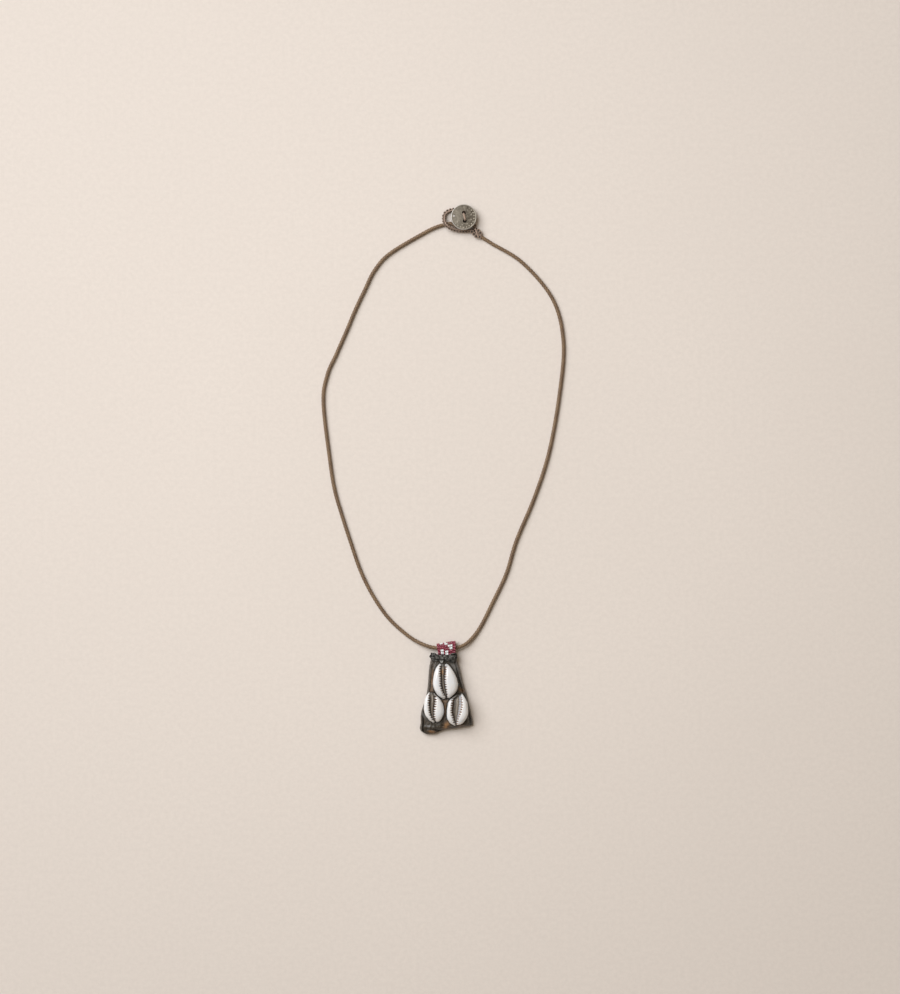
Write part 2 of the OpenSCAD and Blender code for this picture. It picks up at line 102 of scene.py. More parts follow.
# Folds pressed into the leather: from x, y, to x, y, half width, depth (raised if negative)
FOLDS = [
    (-13.1, -12.5, -12.6, -23.5, 0.28, 0.9), (-10.6, -22.6, -4.2, -23.2, 0.3, 0.9),
    (11.4, -9.0, 13.6, -19.4, 0.4, 0.7), (10.6, -18.9, 13.9, -16.4, 0.4, 0.5),
    (-9.0, 9.5, -8.9, 2.0, 0.45, 0.35), (7.0, -0.2, 9.2, -1.6, 0.4, 0.6),
    (-1.4, -6.8, -1.8, -20.5, 0.6, 0.5), (5.6, 10.8, 8.4, 0.0, 0.45, 0.35),
    (-13.9, -14.0, -13.4, -23.2, 0.35, -0.5), (-11.5, -21.2, -4.0, -22.2, 0.7, -0.45),
    (-3.0, 15.1, -2.3, 14.7, 0.7, -1.2), (8.6, -20.4, 13.4, -19.6, 0.5, -0.3),
    (-8.0, 14.4, -7.9, 10.5, 0.3, 0.3), (-6.6, 14.6, -7.0, 11.5, 0.26, 0.3),
    (-7.4, 14.2, -8.3, 7.5, 0.35, -0.25), (3.8, 14.2, 6.0, 9.6, 0.3, 0.3),
    (2.6, 14.6, 4.6, 11.4, 0.26, 0.3), (5.0, 14.2, 7.2, 6.0, 0.35, -0.25),
    (-9.9, -1.0, -11.2, -5.0, 0.3, 0.4), (-3.4, -20.6, 2.6, -21.4, 0.3, 0.35),
    (9.9, -19.2, 12.9, -17.6, 0.3, -0.4),
]
# Places where the black has worn off the leather: x, y, half length, half width, turn, strength
WORN_PLACES = [
    (-7.6, 4.2, 6.0, 0.8, 88, 0.75), (8.2, -0.9, 2.2, 0.9, -32, 0.9), (0.1, -20.6, 2.6, 1.7, 60, 0.9),
    (-1.0, -11.0, 5.0, 0.9, 88, 0.55), (-1.2, -7.3, 1.8, 0.8, 0, 0.8), (-8.0, -24.0, 2.0, 0.75, -8, 1.25),
    (7.8, -20.6, 2.0, 0.6, 15, 0.5), (-8.6, -1.0, 1.6, 0.5, 70, 0.5),
]
# Places where a grey painted highlight lies on the leather, some of them pale rubbed patches as well, with
# the same columns
HIGHLIGHT_AND_RUB_PLACES = [
    (-8.3, 15.0, 0.6, 0.3, 85, 0.5), (-7.2, 15.2, 0.5, 0.3, 80, 0.4), (-2.6, 14.9, 0.75, 0.5, 0, 1.3),
    (-9.1, 7.4, 5.0, 0.2, 86, 0.3), (-8.4, 11.3, 2.5, 0.2, 84, 0.2), (8.2, 4.4, 5.5, 0.35, -73, 0.5),
    (5.5, 12.6, 2.0, 0.3, -70, 0.7), (4.3, 14.0, 0.9, 0.35, -40, 0.7), (-12.8, -14.6, 2.0, 0.45, -68, 1.1),
    (-9.8, -21.1, 0.7, 0.6, 0, 1.0), (12.7, -15.4, 2.5, 0.35, -75, 0.5), (4.7, 11.9, 3.4, 1.4, -60, 1.2),
    (12.2, -16.4, 2.6, 1.2, -77, 0.55), (7.0, 6.6, 4.0, 0.25, -70, 0.5), (-10.4, -0.6, 2.2, 0.3, 78, 0.5),
    (4.0, -21.0, 2.6, 0.5, 8, 0.35), (12.0, -9.6, 3.0, 0.25, -76, 0.45), (-13.8, -19.6, 2.0, 0.3, 88, 0.6),
]

# Sections of the shells: y, outer left, slit left, slit right, outer right
TOP_ROWS = [
    (12.8, -4.4, -2.9, -0.8, 1.3), (11.3, -5.6, -3.1, -0.7, 2.6), (9.4, -6.4, -3.0, -0.8, 3.9),
    (7.5, -6.9, -3.0, -1.0, 4.9), (5.6, -7.2, -2.9, -1.0, 5.7), (3.6, -7.4, -2.8, -1.0, 6.2),
    (1.7, -7.3, -2.7, -0.8, 6.5), (-0.5, -6.8, -2.2, -0.4, 6.1), (-2.1, -6.0, -1.6, -0.2, 5.3),
    (-3.6, -5.0, -0.8, 0.2, 4.0), (-4.9, -3.4, -0.4, 0.5, 2.6),
]
LEFT_ROWS = [
    (-3.2, -10.3, -9.2, -7.0, -6.1), (-4.1, -11.0, -9.2, -6.6, -5.2), (-5.9, -11.8, -9.2, -6.3, -3.4),
    (-7.8, -12.2, -9.3, -6.4, -2.2), (-9.7, -12.3, -9.2, -6.7, -1.6), (-11.6, -12.3, -9.1, -6.9, -1.3),
    (-13.5, -12.0, -8.7, -7.0, -1.4), (-15.4, -11.2, -8.1, -6.9, -1.9), (-17.3, -9.7, -7.1, -6.3, -2.9),
    (-18.3, -8.5, -6.4, -5.7, -3.9),
]
RIGHT_ROWS = [
    (-4.2, 4.4, 6.0, 7.9, 9.6), (-5.9, 2.3, 4.1, 7.9, 10.6), (-7.8, 1.0, 3.6, 8.1, 11.4),
    (-9.7, 0.6, 3.4, 8.1, 11.8), (-11.6, 0.3, 3.2, 7.7, 12.0), (-13.5, 0.2, 3.3, 7.3, 12.0),
    (-15.4, 0.2, 3.8, 6.6, 11.6), (-17.3, 0.7, 4.3, 5.9, 10.6), (-19.2, 2.0, 4.8, 5.6, 9.1),
    (-20.0, 3.3, 5.0, 5.7, 7.6),
]
# Ends of the shells: left lip, notch, right lip at the top, then at the foot, each as x and y
TOP_ENDS = [(-3.3, 13.6), (-1.8, 13.3), (-0.1, 13.5), (-1.0, -6.2), (0.2, -5.9), (1.3, -5.7)]
LEFT_ENDS = [(-9.2, -2.0), (-8.0, -2.4), (-6.9, -2.5), (-6.8, -19.2), (-5.9, -18.9), (-4.9, -18.5)]
RIGHT_ENDS = [(5.3, -3.5), (6.7, -3.3), (8.3, -2.9), (4.7, -20.7), (5.4, -20.6), (6.6, -20.2)]
# name, rows, ends, rise, part of the rise that the slit's fill reaches, lean of the left and the right wall
# into the slit, length of the grooves left and right, then the lip whose upper end is lowered and darkened
# (1 left, -1 right, 0 neither) with the heights where that starts and ends
SHELLS = [
    ("cowrie_top", TOP_ROWS, TOP_ENDS, 5.4, 0.48, 0.08, 0.08, 1.55, 1.3, (0, 0, 1)),
    ("cowrie_left", LEFT_ROWS, LEFT_ENDS, 4.9, 0.48, 0.1, 0.15, 1.3, 1.5, (-1, -5.3, -3.8)),
    ("cowrie_right", RIGHT_ROWS, RIGHT_ENDS, 4.9, 0.30, 0.08, 0.5, 1.5, 1.35, (1, -7.2, -5.2)),
]
# Height of the shells over the deck that they sit on
SEAT_GAP = 0.1
SHELL_SECTIONS = 252
SHELL_CORNERS = 34
FILL_SEGMENTS = 28
FILL_RINGS = 72
# Heights up a lip: part of the way across, part of the rise
LIP_PROFILE = [
    (0.06, 0.00), (0.00, 0.24), (0.015, 0.52), (0.09, 0.79), (0.26, 0.945),
    (0.50, 1.00), (0.76, 0.985), (0.94, 0.87), (1.00, 0.66), (1.00, 0.32), (1.00, 0.00),
]
# Places where the inner slope of a lip lies in shade, with the columns of the worn places
SHELL_SHADES = [
    (-0.6, 9.4, 3.0, 0.6, 88, 0.95), (-0.1, 12.0, 0.9, 0.6, 60, 0.8), (8.3, -6.4, 2.6, 0.4, 88, 0.6),
]
# The ochre patch in the upper slit: x, y, half width, half length
OCHRE_PATCH = (-2.1, 9.0, 0.42, 1.3)

# Windings of the binding: turns, height of the first, climb a turn, how far out, radius, seed of their waver
BINDING_WINDINGS = [
    (4, 15.4, 0.68, 0.0, 0.46, 3.0), (3, 16.1, 0.5, 0.22, 0.40, 5.0), (2, 17.5, -0.75, 0.6, 0.38, 8.0),
    (1, 16.0, 1.1, 0.85, 0.36, 1.0),
]
WINDING_STEPS = 72
# The windings' middle and half their size, each as x and height
BINDING_MIDDLE = (-1.2, 3.3)
BINDING_HALF = (6.5, 2.35)
# Loose strands and the knot of the binding: radius before they are drawn thin, then places
BINDING_STRANDS = [
    (0.46, [(-7.6, 17.4, 4.4), (-6.6, 17.9, 5.8), (-5.7, 17.4, 6.4), (-4.6, 16.3, 6.7), (-2.8, 15.9, 6.8),
            (-0.7, 16.4, 6.8), (0.8, 17.2, 6.6)]),
    (0.44, [(-3.9, 17.2, 6.4), (-1.6, 16.5, 6.9), (0.2, 15.6, 6.9), (1.6, 15.0, 6.7), (3.2, 14.6, 6.3),
            (4.8, 14.9, 5.4)]),
    (0.40, [(1.6, 17.2, 6.5), (2.8, 16.4, 6.9), (4.0, 16.2, 6.6), (5.4, 16.6, 5.4)]),
    (0.48, [(4.4, 18.9, 2.6), (5.0, 19.1, 4.2), (5.0, 18.2, 5.6), (4.6, 17.0, 6.4), (3.9, 16.0, 6.6)]),
    (0.48, [(3.6, 18.6, 3.2), (3.9, 18.5, 4.9), (3.2, 17.8, 5.9), (2.2, 17.3, 6.4)]),
    (0.50, [(-6.6, 17.0, 4.6), (-6.2, 17.6, 5.9), (-7.0, 18.2, 6.0), (-7.4, 18.4, 4.8), (-6.7, 18.7, 4.1),
            (-6.0, 18.7, 5.4), (-6.6, 19.1, 6.2), (-7.3, 19.0, 5.0), (-6.6, 19.0, 4.2), (-5.9, 18.3, 4.8),
            (-6.1, 17.3, 5.9), (-6.9, 16.5, 6.0), (-7.7, 16.0, 4.6)]),
    (0.46, [(-5.6, 18.2, 3.4), (-5.2, 18.1, 5.1), (-4.8, 17.4, 6.2), (-3.8, 17.0, 6.6), (-2.4, 17.4, 6.3)]),
    (0.36, [(0.8, 15.9, 6.5), (1.9, 14.6, 6.6), (3.2, 14.1, 6.3), (4.2, 14.3, 5.9)]),
    (0.42, [(5.6, 17.4, 4.4), (5.2, 18.5, 5.6), (4.2, 19.0, 6.15), (3.0, 18.9, 6.25), (1.9, 18.3, 6.35),
            (0.9, 17.5, 6.6)]),
    (0.42, [(-3.2, 15.4, 5.9), (-3.1, 14.6, 6.3), (-2.5, 14.2, 6.5), (-2.0, 14.6, 6.5), (-2.3, 15.2, 6.1)]),
]
STRAND_DRAWN = 0.86
# Place of the painted highlight on the curl at the foot of the binding: x, y, how far its pale colour reaches
CURL_HIGHLIGHT = (-2.55, 14.5, 0.75)

# The bail's band, seen from the side: its foot and its bend from its middle, and its depth over all
BAIL_FOOT = 3.45
BAIL_BEND = 1.0
BAIL_DEPTH = 5.5
# Where the bail lies, and the climb of its rows of beads to the right, per millimetre
BAIL_PLACE = (0.11, 21.5)
BAIL_CLIMB = 0.17
# Columns of beads across the bail: how far up the band the first bead starts
BEAD_COLUMNS = [0.3, 0.0, -0.4, -0.4, 0.7, 0.0, 0.0, 0.0, 0.0, 0.0, 0.6, 0.5]
# White beads: first and last column, first and last bead, counted up the front and over the bend
WHITE_BEADS = [
    (2, 3, 1, 2), (2, 3, 5, 5), (5, 5, 4, 5), (5, 6, 0, 1), (6, 6, 4, 4), (7, 7, 3, 3), (8, 9, 2, 3),
    (0, 1, 7, 8), (4, 5, 8, 9), (10, 11, 7, 8),
]

# The coin: where its middle is, how far and about which axis it leans, its radius and half its thickness
COIN_MIDDLE = Vector((9.55, 258.6, 4.1))
COIN_LEAN = 7.0
COIN_AXIS = Vector((-1, 1, 0))
COIN_RADIUS = 7.05
COIN_HALF = 0.6
# Holes of the coin, from its middle: x, y, diameter
COIN_HOLES = [(0.05, 2.29, 2.2), (0.45, -2.19, 2.2), (-5.4, 0.6, 1.3)]
# Rings of relief on the coin: how many, how far out
PELLETS = (22, 5.8)
LEAVES = (9, 4.45)
# The seam through the coin: its middle on the coin, its turn, half its length and half its height
SEAM_MIDDLE = Vector((0.25, 0.05, 0))
SEAM_TURN = 16
SEAM_HALF = 1.68
SEAM_RISE = 1.42
SEAM_STEPS = 96
# The thread wound into a stay under the coin, near-black, which also gives painted shade in the coin's holes
STAY_TURNS = 5
STAY_STEPS = 32

# The stage is in metres: what the camera looks down on and the side of the table
CAMERA_PLACE = (0.002, 0.1049)
TABLE_SIZE = 6
# Height of the camera's sensor in millimetres
SENSOR = 36
# Lights: place, what they look at, shape, size, colour
KEY_LIGHT = ((-1.35, 1.2, 2.0), (0, 0.12, 0), "DISK", (2.5, 2.5), (0.975, 0.985, 1.0))
GLINT = ((-1.0, 0.95, 2.4), (0, 0, 0), "RECTANGLE", (0.3, 0.45), (0.82, 0.92, 1.0))
GLINT_POWER = 5.0


def size_property(name, description, default, low, high, precision=4):
    return FloatProperty(name=name, description=description, default=default, min=low, max=high,
                         unit="LENGTH", precision=precision)


def colour_property(name, description, *default):
    return FloatVectorProperty(name=name, description=description, subtype="COLOR", size=3, default=default,
                               min=0, max=1)


class AmuletCordSettings(bpy.types.PropertyGroup):
    diameter: size_property("Diameter", "Diameter of the braided cord", 0.002, 0.0016, 0.002)
    strands: IntProperty(name="Strands each way", description="Strands of the braid that run each way round",
                         default=4, min=2, max=8)
    turn: size_property("Turn", "Length of cord in which a strand runs once round", 0.0072, 0.004, 0.012)
    colour: colour_property("Colour", "Colour of the waxed strands", 0.215, 0.128, 0.070)
    # The worn colour also gives the strands' tops a painted highlight
    edge: colour_property("Worn colour", "Colour of the strands where they are rubbed", 0.30, 0.20, 0.11)


class AmuletPacketSettings(bpy.types.PropertyGroup):
    crown: size_property("Crown", "Height of the leather in the middle", 0.0062, 0.0056, 0.007)
    edge: size_property("Edge", "Height of the folded leather along the sides", 0.0027, 0.002, 0.003)
    seat: size_property("Seat", "Height of the deck under the shells", 0.0046, 0.004, 0.005)
    groove: size_property("Groove", "Depth of the groove inside each side edge", 0.0006, 0, 0.001)
    wrinkle: size_property("Wrinkles", "Height of the wrinkles in the leather", 0.00022, 0, 0.0006, 5)
    colour: colour_property("Colour", "Colour of the blackened leather", 0.020, 0.0165, 0.0125)
    worn: colour_property("Worn colour", "Colour of the leather under the black", 0.42, 0.22, 0.095)


class AmuletShellSettings(bpy.types.PropertyGroup):
    pitch: size_property("Tooth pitch", "Distance from tooth to tooth", 0.00136, 0.0008, 0.0016, 5)
    colour: colour_property("Colour", "Colour of the shell", 0.755, 0.775, 0.81)
    notch: colour_property("Notch colour", "Colour of the grooves between the teeth", 0.20, 0.092, 0.034)
    fill: colour_property("Slit colour", "Colour of what fills the slit", 0.145, 0.126, 0.104)


class AmuletBeadSettings(bpy.types.PropertyGroup):
    width: size_property("Bead width", "Length of a bead along its hole", 0.00086, 0.0007, 0.001, 5)
    diameter: size_property("Bead diameter", "Diameter of a bead", 0.00145, 0.0012, 0.0016, 5)
    red: colour_property("Red", "Colour of the red beads", 0.36, 0.018, 0.055)
    white: colour_property("White", "Colour of the white beads", 0.86, 0.90, 0.90)


class AmuletClaspSettings(bpy.types.PropertyGroup):
    pitch: size_property("Stitch pitch", "Distance from bump to bump on the loop", 0.0016, 0.001, 0.0024, 5)
    thread: size_property("Thread", "Diameter of the thread that covers the loop", 0.00078, 0.0005, 0.001, 5)
    colour: colour_property("Colour", "Colour of the stitching", 0.27, 0.180, 0.132)
    silver: colour_property("Silver", "Colour of the rubbed silver", 0.47, 0.425, 0.355)


class AmuletStudioSettings(bpy.types.PropertyGroup):
    frame_height: size_property("Frame height", "Height of the table that is in the picture", 0.5467, 0.1, 2)
    distance: size_property("Camera distance", "Height of the camera over the table", 2.5, 0.5, 6, 2)
    table: colour_property("Table colour", "Colour of the table", 0.78, 0.715, 0.665)
    key: FloatProperty(name="Key light", description="Power of the main light", default=82.0, min=0, max=200,
                       unit="POWER")
    fill: FloatProperty(name="Fill light", description="Strength of the light from all round", default=0.28,
                        min=0, max=3)


def along(points, t):
    """A place on the smooth line through a list of points, all columns at once; t counts the points."""
    last = len(points) - 1
    i = min(int(t), last - 1)
    f = t - i
    four = points[max(i - 1, 0)], points[i], points[i + 1], points[min(i + 2, last)]
    return tuple(0.5 * (2 * b + (c - a) * f + (2 * a - 5 * b + 4 * c - d) * f * f
                        + (3 * b - a - 3 * c + d) * f ** 3) for a, b, c, d in zip(*four))


def even_line(points, step):
    """The smooth line through a list of points, cut into even steps."""
    fine = [Vector(along(points, i / 24)) for i in range((len(points) - 1) * 24 + 1)]
    ends = [0.0]
    for a, b in zip(fine, fine[1:]):
        ends.append(ends[-1] + (b - a).length)
    count = max(2, round(ends[-1] / step))
    line, j = [], 0
    for i in range(count + 1):
        want = ends[-1] * i / count
        while j < len(fine) - 2 and ends[j + 1] < want:
            j += 1
        f = (want - ends[j]) / max(1e-12, ends[j + 1] - ends[j])
        line.append(fine[j].lerp(fine[j + 1], min(1.0, f)))
    return line


def in_metres(points):
    return [tuple(v * MM for v in p) for p in points]


def heading(line, i):
    return (line[min(i + 1, len(line) - 1)] - line[max(i - 1, 0)]).normalized()


def level_side(d):
    """The level direction to the right of a direction."""
    s = Vector((d.y, -d.x, 0))
    return s.normalized() if s.length > 1e-6 else Vector((1, 0, 0))


def across(line, i):
    """The level and the upright direction across a line at one of its points."""
    d = heading(line, i)
    s = level_side(d)
    return s, s.cross(d)


def outwards(line, i):
    """The level direction across a loop that points away from its middle."""
    side = level_side(heading(line, i))
    middle = sum(line, Vector()) / len(line)
    return side if (line[i] - middle).dot(side) > 0 else -side


def axes(x, y, z):
    """The turn that takes the world's axes to these three."""
    return Matrix((x, y, z)).transposed().to_4x4()


def step_up(low, high, value):
    f = max(0.0, min(1.0, (value - low) / (high - low)))
    return f * f * (3 - 2 * f)


def bell(value, middle, half):
    return math.exp(-((value - middle) / half) ** 2)


def signed(value, power):
    """A power of a value that keeps its sign; a power under 1 squares a circle off."""
    return math.copysign(abs(value) ** power, value)


def wobble(x, y, z):
    """Smooth noise at a place, about -1 to 1."""
    return noise.noise(Vector((x, y, z)))


def only(*pieces):
    """Selects these objects alone, the last of them active; without any, deselects all."""
    bpy.ops.object.select_all(action="DESELECT")
    for piece in pieces:
        piece.select_set(True)
        bpy.context.view_layer.objects.active = piece


def name_piece(piece, name):
    piece.name = name
    piece.data.name = name
    return piece


def face_outwards(piece, reach=0.0):
    """Merges the vertices of a piece nearer than reach, turns its faces outwards and shades it smooth."""
    only(piece)
    bpy.ops.object.mode_set(mode="EDIT")
    bpy.ops.mesh.select_all(action="SELECT")
    if reach:
        bpy.ops.mesh.remove_doubles(threshold=reach)
        bpy.ops.mesh.quads_convert_to_tris()
        bpy.ops.mesh.dissolve_degenerate(threshold=reach)
    bpy.ops.mesh.normals_make_consistent(inside=False)
    bpy.ops.object.mode_set(mode="OBJECT")
    bpy.ops.object.shade_smooth()
    return piece


def ball(name, segments, rings, radius=1.0):
    only()
    bpy.ops.mesh.primitive_uv_sphere_add(segments=segments, ring_count=rings, radius=radius)
    return name_piece(bpy.context.active_object, name)


def torus(name, around, over, major=1.0, minor=0.3):
    only()
    bpy.ops.mesh.primitive_torus_add(major_segments=around, minor_segments=over, major_radius=major,
                                     minor_radius=minor)
    return name_piece(bpy.context.active_object, name)


def round_form(name, segments, rings, place):
    """A closed form shaped from a ball: place(t, f) gives each point, t from pole to pole, f once round.
    The number of segments is a multiple of four, so that each lies at a whole step of f."""
    piece = ball(name, segments, rings)
    for vertex in piece.data.vertices:
        co = vertex.co
        t = round(math.acos(max(-1.0, min(1.0, co.z))) / math.pi * rings) / rings
        f = (round(math.atan2(co.y, co.x) / math.tau * segments) / segments) % 1.0
        vertex.co = place(t, f)
    return face_outwards(piece)


def ring_form(name, sections, corners, place):
    """A closed ring shaped from a torus: place(i, j) gives corner j of section i."""
    piece = torus(name, sections, corners)
    for index, vertex in enumerate(piece.data.vertices):
        vertex.co = place(index // corners, index % corners)
    return face_outwards(piece)


def strand(name, line, radius, fineness=3):
    """A round strand along a line, made from a curve, its end caps merged with its side."""
    data = bpy.data.curves.new(name, "CURVE")
    data.dimensions = "3D"
    data.bevel_depth = radius
    data.bevel_resolution = fineness
    data.use_fill_caps = True
    spline = data.splines.new("POLY")
    spline.points.add(len(line) - 1)
    for point, p in zip(spline.points, line):
        point.co = (*p, 1)
    piece = bpy.data.objects.new(name, data)
    bpy.context.scene.collection.objects.link(piece)
    only(piece)
    bpy.ops.object.convert(target="MESH")
    return face_outwards(name_piece(bpy.context.active_object, name), 0.003 * MM)


def twisted(name, line, radius, plies, turn):
    """A thread of plies laid round each other along a line."""
    off = radius * (0.5 if plies == 2 else 0.54)
    paths = [[] for _ in range(plies)]
    length = 0.0
    for i, p in enumerate(line):
        length += (p - line[max(i - 1, 0)]).length
        s, u = across(line, i)
        for ply, path in enumerate(paths):
            a = math.tau * (length / turn + ply / plies)
            path.append(p + off * (math.cos(a) * s + math.sin(a) * u))
    return merge(name, [strand(name, path, radius - off, 2) for path in paths])


def knead(piece, amount, scale):
    """Makes a smooth piece uneven, as wax and pitch leave it."""
    for vertex in piece.data.vertices:
        vertex.co += vertex.normal * amount * noise.noise(vertex.co * scale)


def merge(name, parts):
    only(*parts[1:], parts[0])
    if len(parts) > 1:
        bpy.ops.object.join()
    return name_piece(bpy.context.active_object, name)


def copies(source, places):
    """Copies of a modelled piece, each with its own mesh, at the given places; the first model is used up."""
    made = []
    for matrix in places:
        copy = source.copy()
        copy.data = source.data.copy()
        copy.data.transform(matrix)
        if matrix.determinant() < 0:
            copy.data.flip_normals()
        bpy.context.scene.collection.objects.link(copy)
        made.append(copy)
    bpy.data.objects.remove(source)
    return made


def set_values(piece, names, rows):
    """Stores a row of numbers for each vertex of a piece, a column under each name, for its material."""
    for name, column in zip(names, zip(*rows)):
        piece.data.attributes.new(name, "FLOAT", "POINT").data.foreach_set("value", list(column))


def dress(piece, finish, slot, *nodes):
    """Gives a piece its material and its body, and hides the CAD nodes that it stands for."""
    piece.data.materials.clear()
    piece.data.materials.append(finish)
    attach(piece, "root")
    if nodes:
        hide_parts(*nodes)


def rgba(colour, k=1.0):
    return (colour[0] * k, colour[1] * k, colour[2] * k, 1.0)


class Tree:
    """A node tree under construction."""

    def __init__(self, tree):
        self.tree = tree

    def feed(self, socket, value):
        """Gives a socket its value or the output that it is linked to."""
        if isinstance(value, bpy.types.NodeSocket):
            self.tree.links.new(value, socket)
        else:
            socket.default_value = value

    def node(self, kind, inputs=None, **settings):
        """The outputs of a new node with these settings and inputs."""
        made = self.tree.nodes.new("ShaderNode" + kind)
        for key, value in settings.items():
            setattr(made, key, value)
        for key, value in (inputs or {}).items():
            self.feed(made.inputs[key], value)
        return made.outputs

    def times(self, a, b):
        """The product of two numbers, kept between 0 and 1."""
        return self.node("Math", {0: a, 1: b}, operation="MULTIPLY", use_clamp=True)[0]

    def plus(self, a, b, k=1.0):
        """A number plus k times another."""
        return self.node("Math", {0: b, 1: k, 2: a}, operation="MULTIPLY_ADD")[0]

    def ranged(self, value, low, high, to_low=0.0, to_high=1.0, **settings):
        return self.node("MapRange", {"Value": value, "From Min": low, "From Max": high, "To Min": to_low,
                                      "To Max": to_high}, **settings)["Result"]

    def cloud(self, at, scale, detail, roughness=0.5, distortion=0.0):
        """Layered noise."""
        return self.node("TexNoise", {"Vector": at, "Scale": scale, "Detail": detail, "Roughness": roughness,
                                      "Distortion": distortion})["Fac"]

    def stretched(self, at, x, y, z):
        """A place multiplied by a size for each axis."""
        sizes = self.node("CombineXYZ", {"X": x, "Y": y, "Z": z})[0]
        return self.node("VectorMath", {0: at, 1: sizes}, operation="MULTIPLY")[0]


class Group(Tree):
    """A shared effect under construction: a node group that takes a place and some numbers."""

    def __init__(self, name, outputs, **numbers):
        super().__init__(bpy.data.node_groups.new(name, "ShaderNodeTree"))
        new_socket = self.tree.interface.new_socket
        new_socket(name="Vector", in_out="INPUT", socket_type="NodeSocketVector")
        for label, default in numbers.items():
            socket = new_socket(name=label, in_out="INPUT", socket_type="NodeSocketFloat")
            socket.default_value = default
        for label in outputs:
            new_socket(name=label, in_out="OUTPUT", socket_type="NodeSocketFloat")
        self.given = self.tree.nodes.new("NodeGroupInput").outputs
        self.out = self.tree.nodes.new("NodeGroupOutput").inputs


def grain_group(name):
    """Pebbled skin: small cells with fine pores."""
    group = Group(name, ["Height", "Tone"], Scale=900.0)
    at, scale = group.given["Vector"], group.given["Scale"]
    cells = group.node("TexVoronoi", {"Vector": at, "Scale": scale}, feature="SMOOTH_F1")["Distance"]
    cloud = group.cloud(at, scale, 4.0, 0.6)
    group.feed(group.out["Height"], group.plus(cells, cloud))
    group.feed(group.out["Tone"], cloud)
    return group.tree


def patch_group(name):
    """Soft-edged patches from layered noise, more of them as Amount rises."""
    group = Group(name, ["Mask"], Scale=200.0, Amount=0.5, Softness=0.12)
    given = group.given
    cloud = group.cloud(given["Vector"], given["Scale"], 6.0, 0.62)
    line = group.plus(1.0, given["Amount"], -1.0)
    low = group.plus(line, given["Softness"], -1.0)
    high = group.plus(line, given["Softness"])
    group.feed(group.out["Mask"], group.ranged(cloud, low, high, interpolation_type="SMOOTHSTEP"))
    return group.tree


def dust_group(name):
    """Pale dust that settles where a face looks up."""
    group = Group(name, ["Mask"], Scale=600.0, Amount=0.2)
    normal = group.node("NewGeometry")["Normal"]
    height = group.node("SeparateXYZ", {0: normal})["Z"]
    cloud = group.cloud(group.given["Vector"], group.given["Scale"], 5.0, 0.7)
    group.feed(group.out["Mask"], group.times(group.times(height, cloud), group.given["Amount"]))
    return group.tree


def fibre_group(name):
    """Fine fibres that run along a strand; Vector's X runs along it."""
    group = Group(name, ["Height"], Across=9.0, Along=0.8)
    given = group.given
    spread = group.stretched(given["Vector"], given["Along"], given["Across"], given["Across"])
    group.feed(group.out["Height"], group.cloud(spread, 1.0, 3.0, 0.6))
    return group.tree


def streak_group(name):
    """Long uneven streaks that run up the piece."""
    group = Group(name, ["Tone"], Across=900.0, Along=150.0)
    given = group.given
    spread = group.stretched(given["Vector"], given["Across"], given["Along"], given["Across"])
    group.feed(group.out["Tone"], group.cloud(spread, 1.0, 4.0, 0.65, 0.4))
    return group.tree


class Finish(Tree):
    """A material under construction, with its colour so far; fixed are plain values of the shader."""

    def __init__(self, name, **fixed):
        self.material = bpy.data.materials.new(name)
        self.material.use_nodes = True
        super().__init__(self.material.node_tree)
        self.tree.nodes.clear()
        shader = self.tree.nodes.new("ShaderNodeBsdfPrincipled")
        self.node("OutputMaterial", {"Surface": shader.outputs["BSDF"]})
        self.shader = shader.inputs
        for key, value in fixed.items():
            self.shader[key.replace("_", " ")].default_value = value
        self.at = self.node("TexCoord")["Object"]
        self.tone = None

    def stored(self, name):
        """A number that the piece stores at its vertices."""
        return self.node("Attribute", attribute_name=name, attribute_type="GEOMETRY")["Fac"]

    def shared(self, name, maker, **inputs):
        """The outputs of a shared effect, which is made once."""
        tree = bpy.data.node_groups.get(name) or maker(name)
        return self.node("Group", {"Vector": self.at, **inputs}, node_tree=tree)

    def grain(self, scale):
        return self.shared("Skin grain", grain_group, Scale=scale)

    def patches(self, scale, amount, softness):
        return self.shared("Patches", patch_group, Scale=scale, Amount=amount, Softness=softness)["Mask"]

    def dust(self, scale, amount):
        return self.shared("Dust", dust_group, Scale=scale, Amount=amount)["Mask"]

    def blend(self, mask, a, b):
        """A colour between a and b by a mask; each is a value or an output."""
        return self.node("Mix", {0: mask, 6: a, 7: b}, data_type="RGBA")[2]

    def over(self, mask, colour, k=1.0):
        """Lays k times a colour over the colour so far, where the mask says."""
        self.tone = self.blend(mask, self.tone, rgba(colour, k))

    def rough(self, value):
        self.feed(self.shader["Roughness"], value)

    def done(self, height=None, strength=0.0, distance=0.0):
        """The material, with its colour and the bumps of a height if it has any."""
        self.feed(self.shader["Base Color"], self.tone)
        if height is not None:
            bump = {"Strength": strength, "Distance": distance, "Height": height}
            self.feed(self.shader["Normal"], self.node("Bump", bump)["Normal"])
        return self.material


def braid_finish(settings):
    look = Finish("waxed_braid", Sheen_Weight=0.15)
    uv = look.node("UVMap", uv_map="along_cord")["UV"]
    fibres = look.shared("Fibres", fibre_group, Vector=uv, Across=60.0, Along=40.0)["Height"]
    height = look.stored("strand")
    # Painted shade: the strands fall to a quarter of their colour where they dip under the crossings
    deep, light = rgba(settings.colour, 0.26), rgba(settings.colour)
    look.tone = look.blend(look.ranged(height, 0.25, 0.85), deep, light)
    # Rubbed paler in patches where the strands stand highest, partly wear and partly a painted highlight on
    # their tops
    look.over(look.times(look.patches(260.0, 0.5, 0.2), height), settings.edge)
    look.over(look.ranged(fibres, 0.35, 0.7, 0.0, 0.35), settings.colour, 0.55)
    look.rough(look.ranged(fibres, 0.3, 0.7, 0.42, 0.68))
    return look.done(fibres, 0.5, 0.0001)


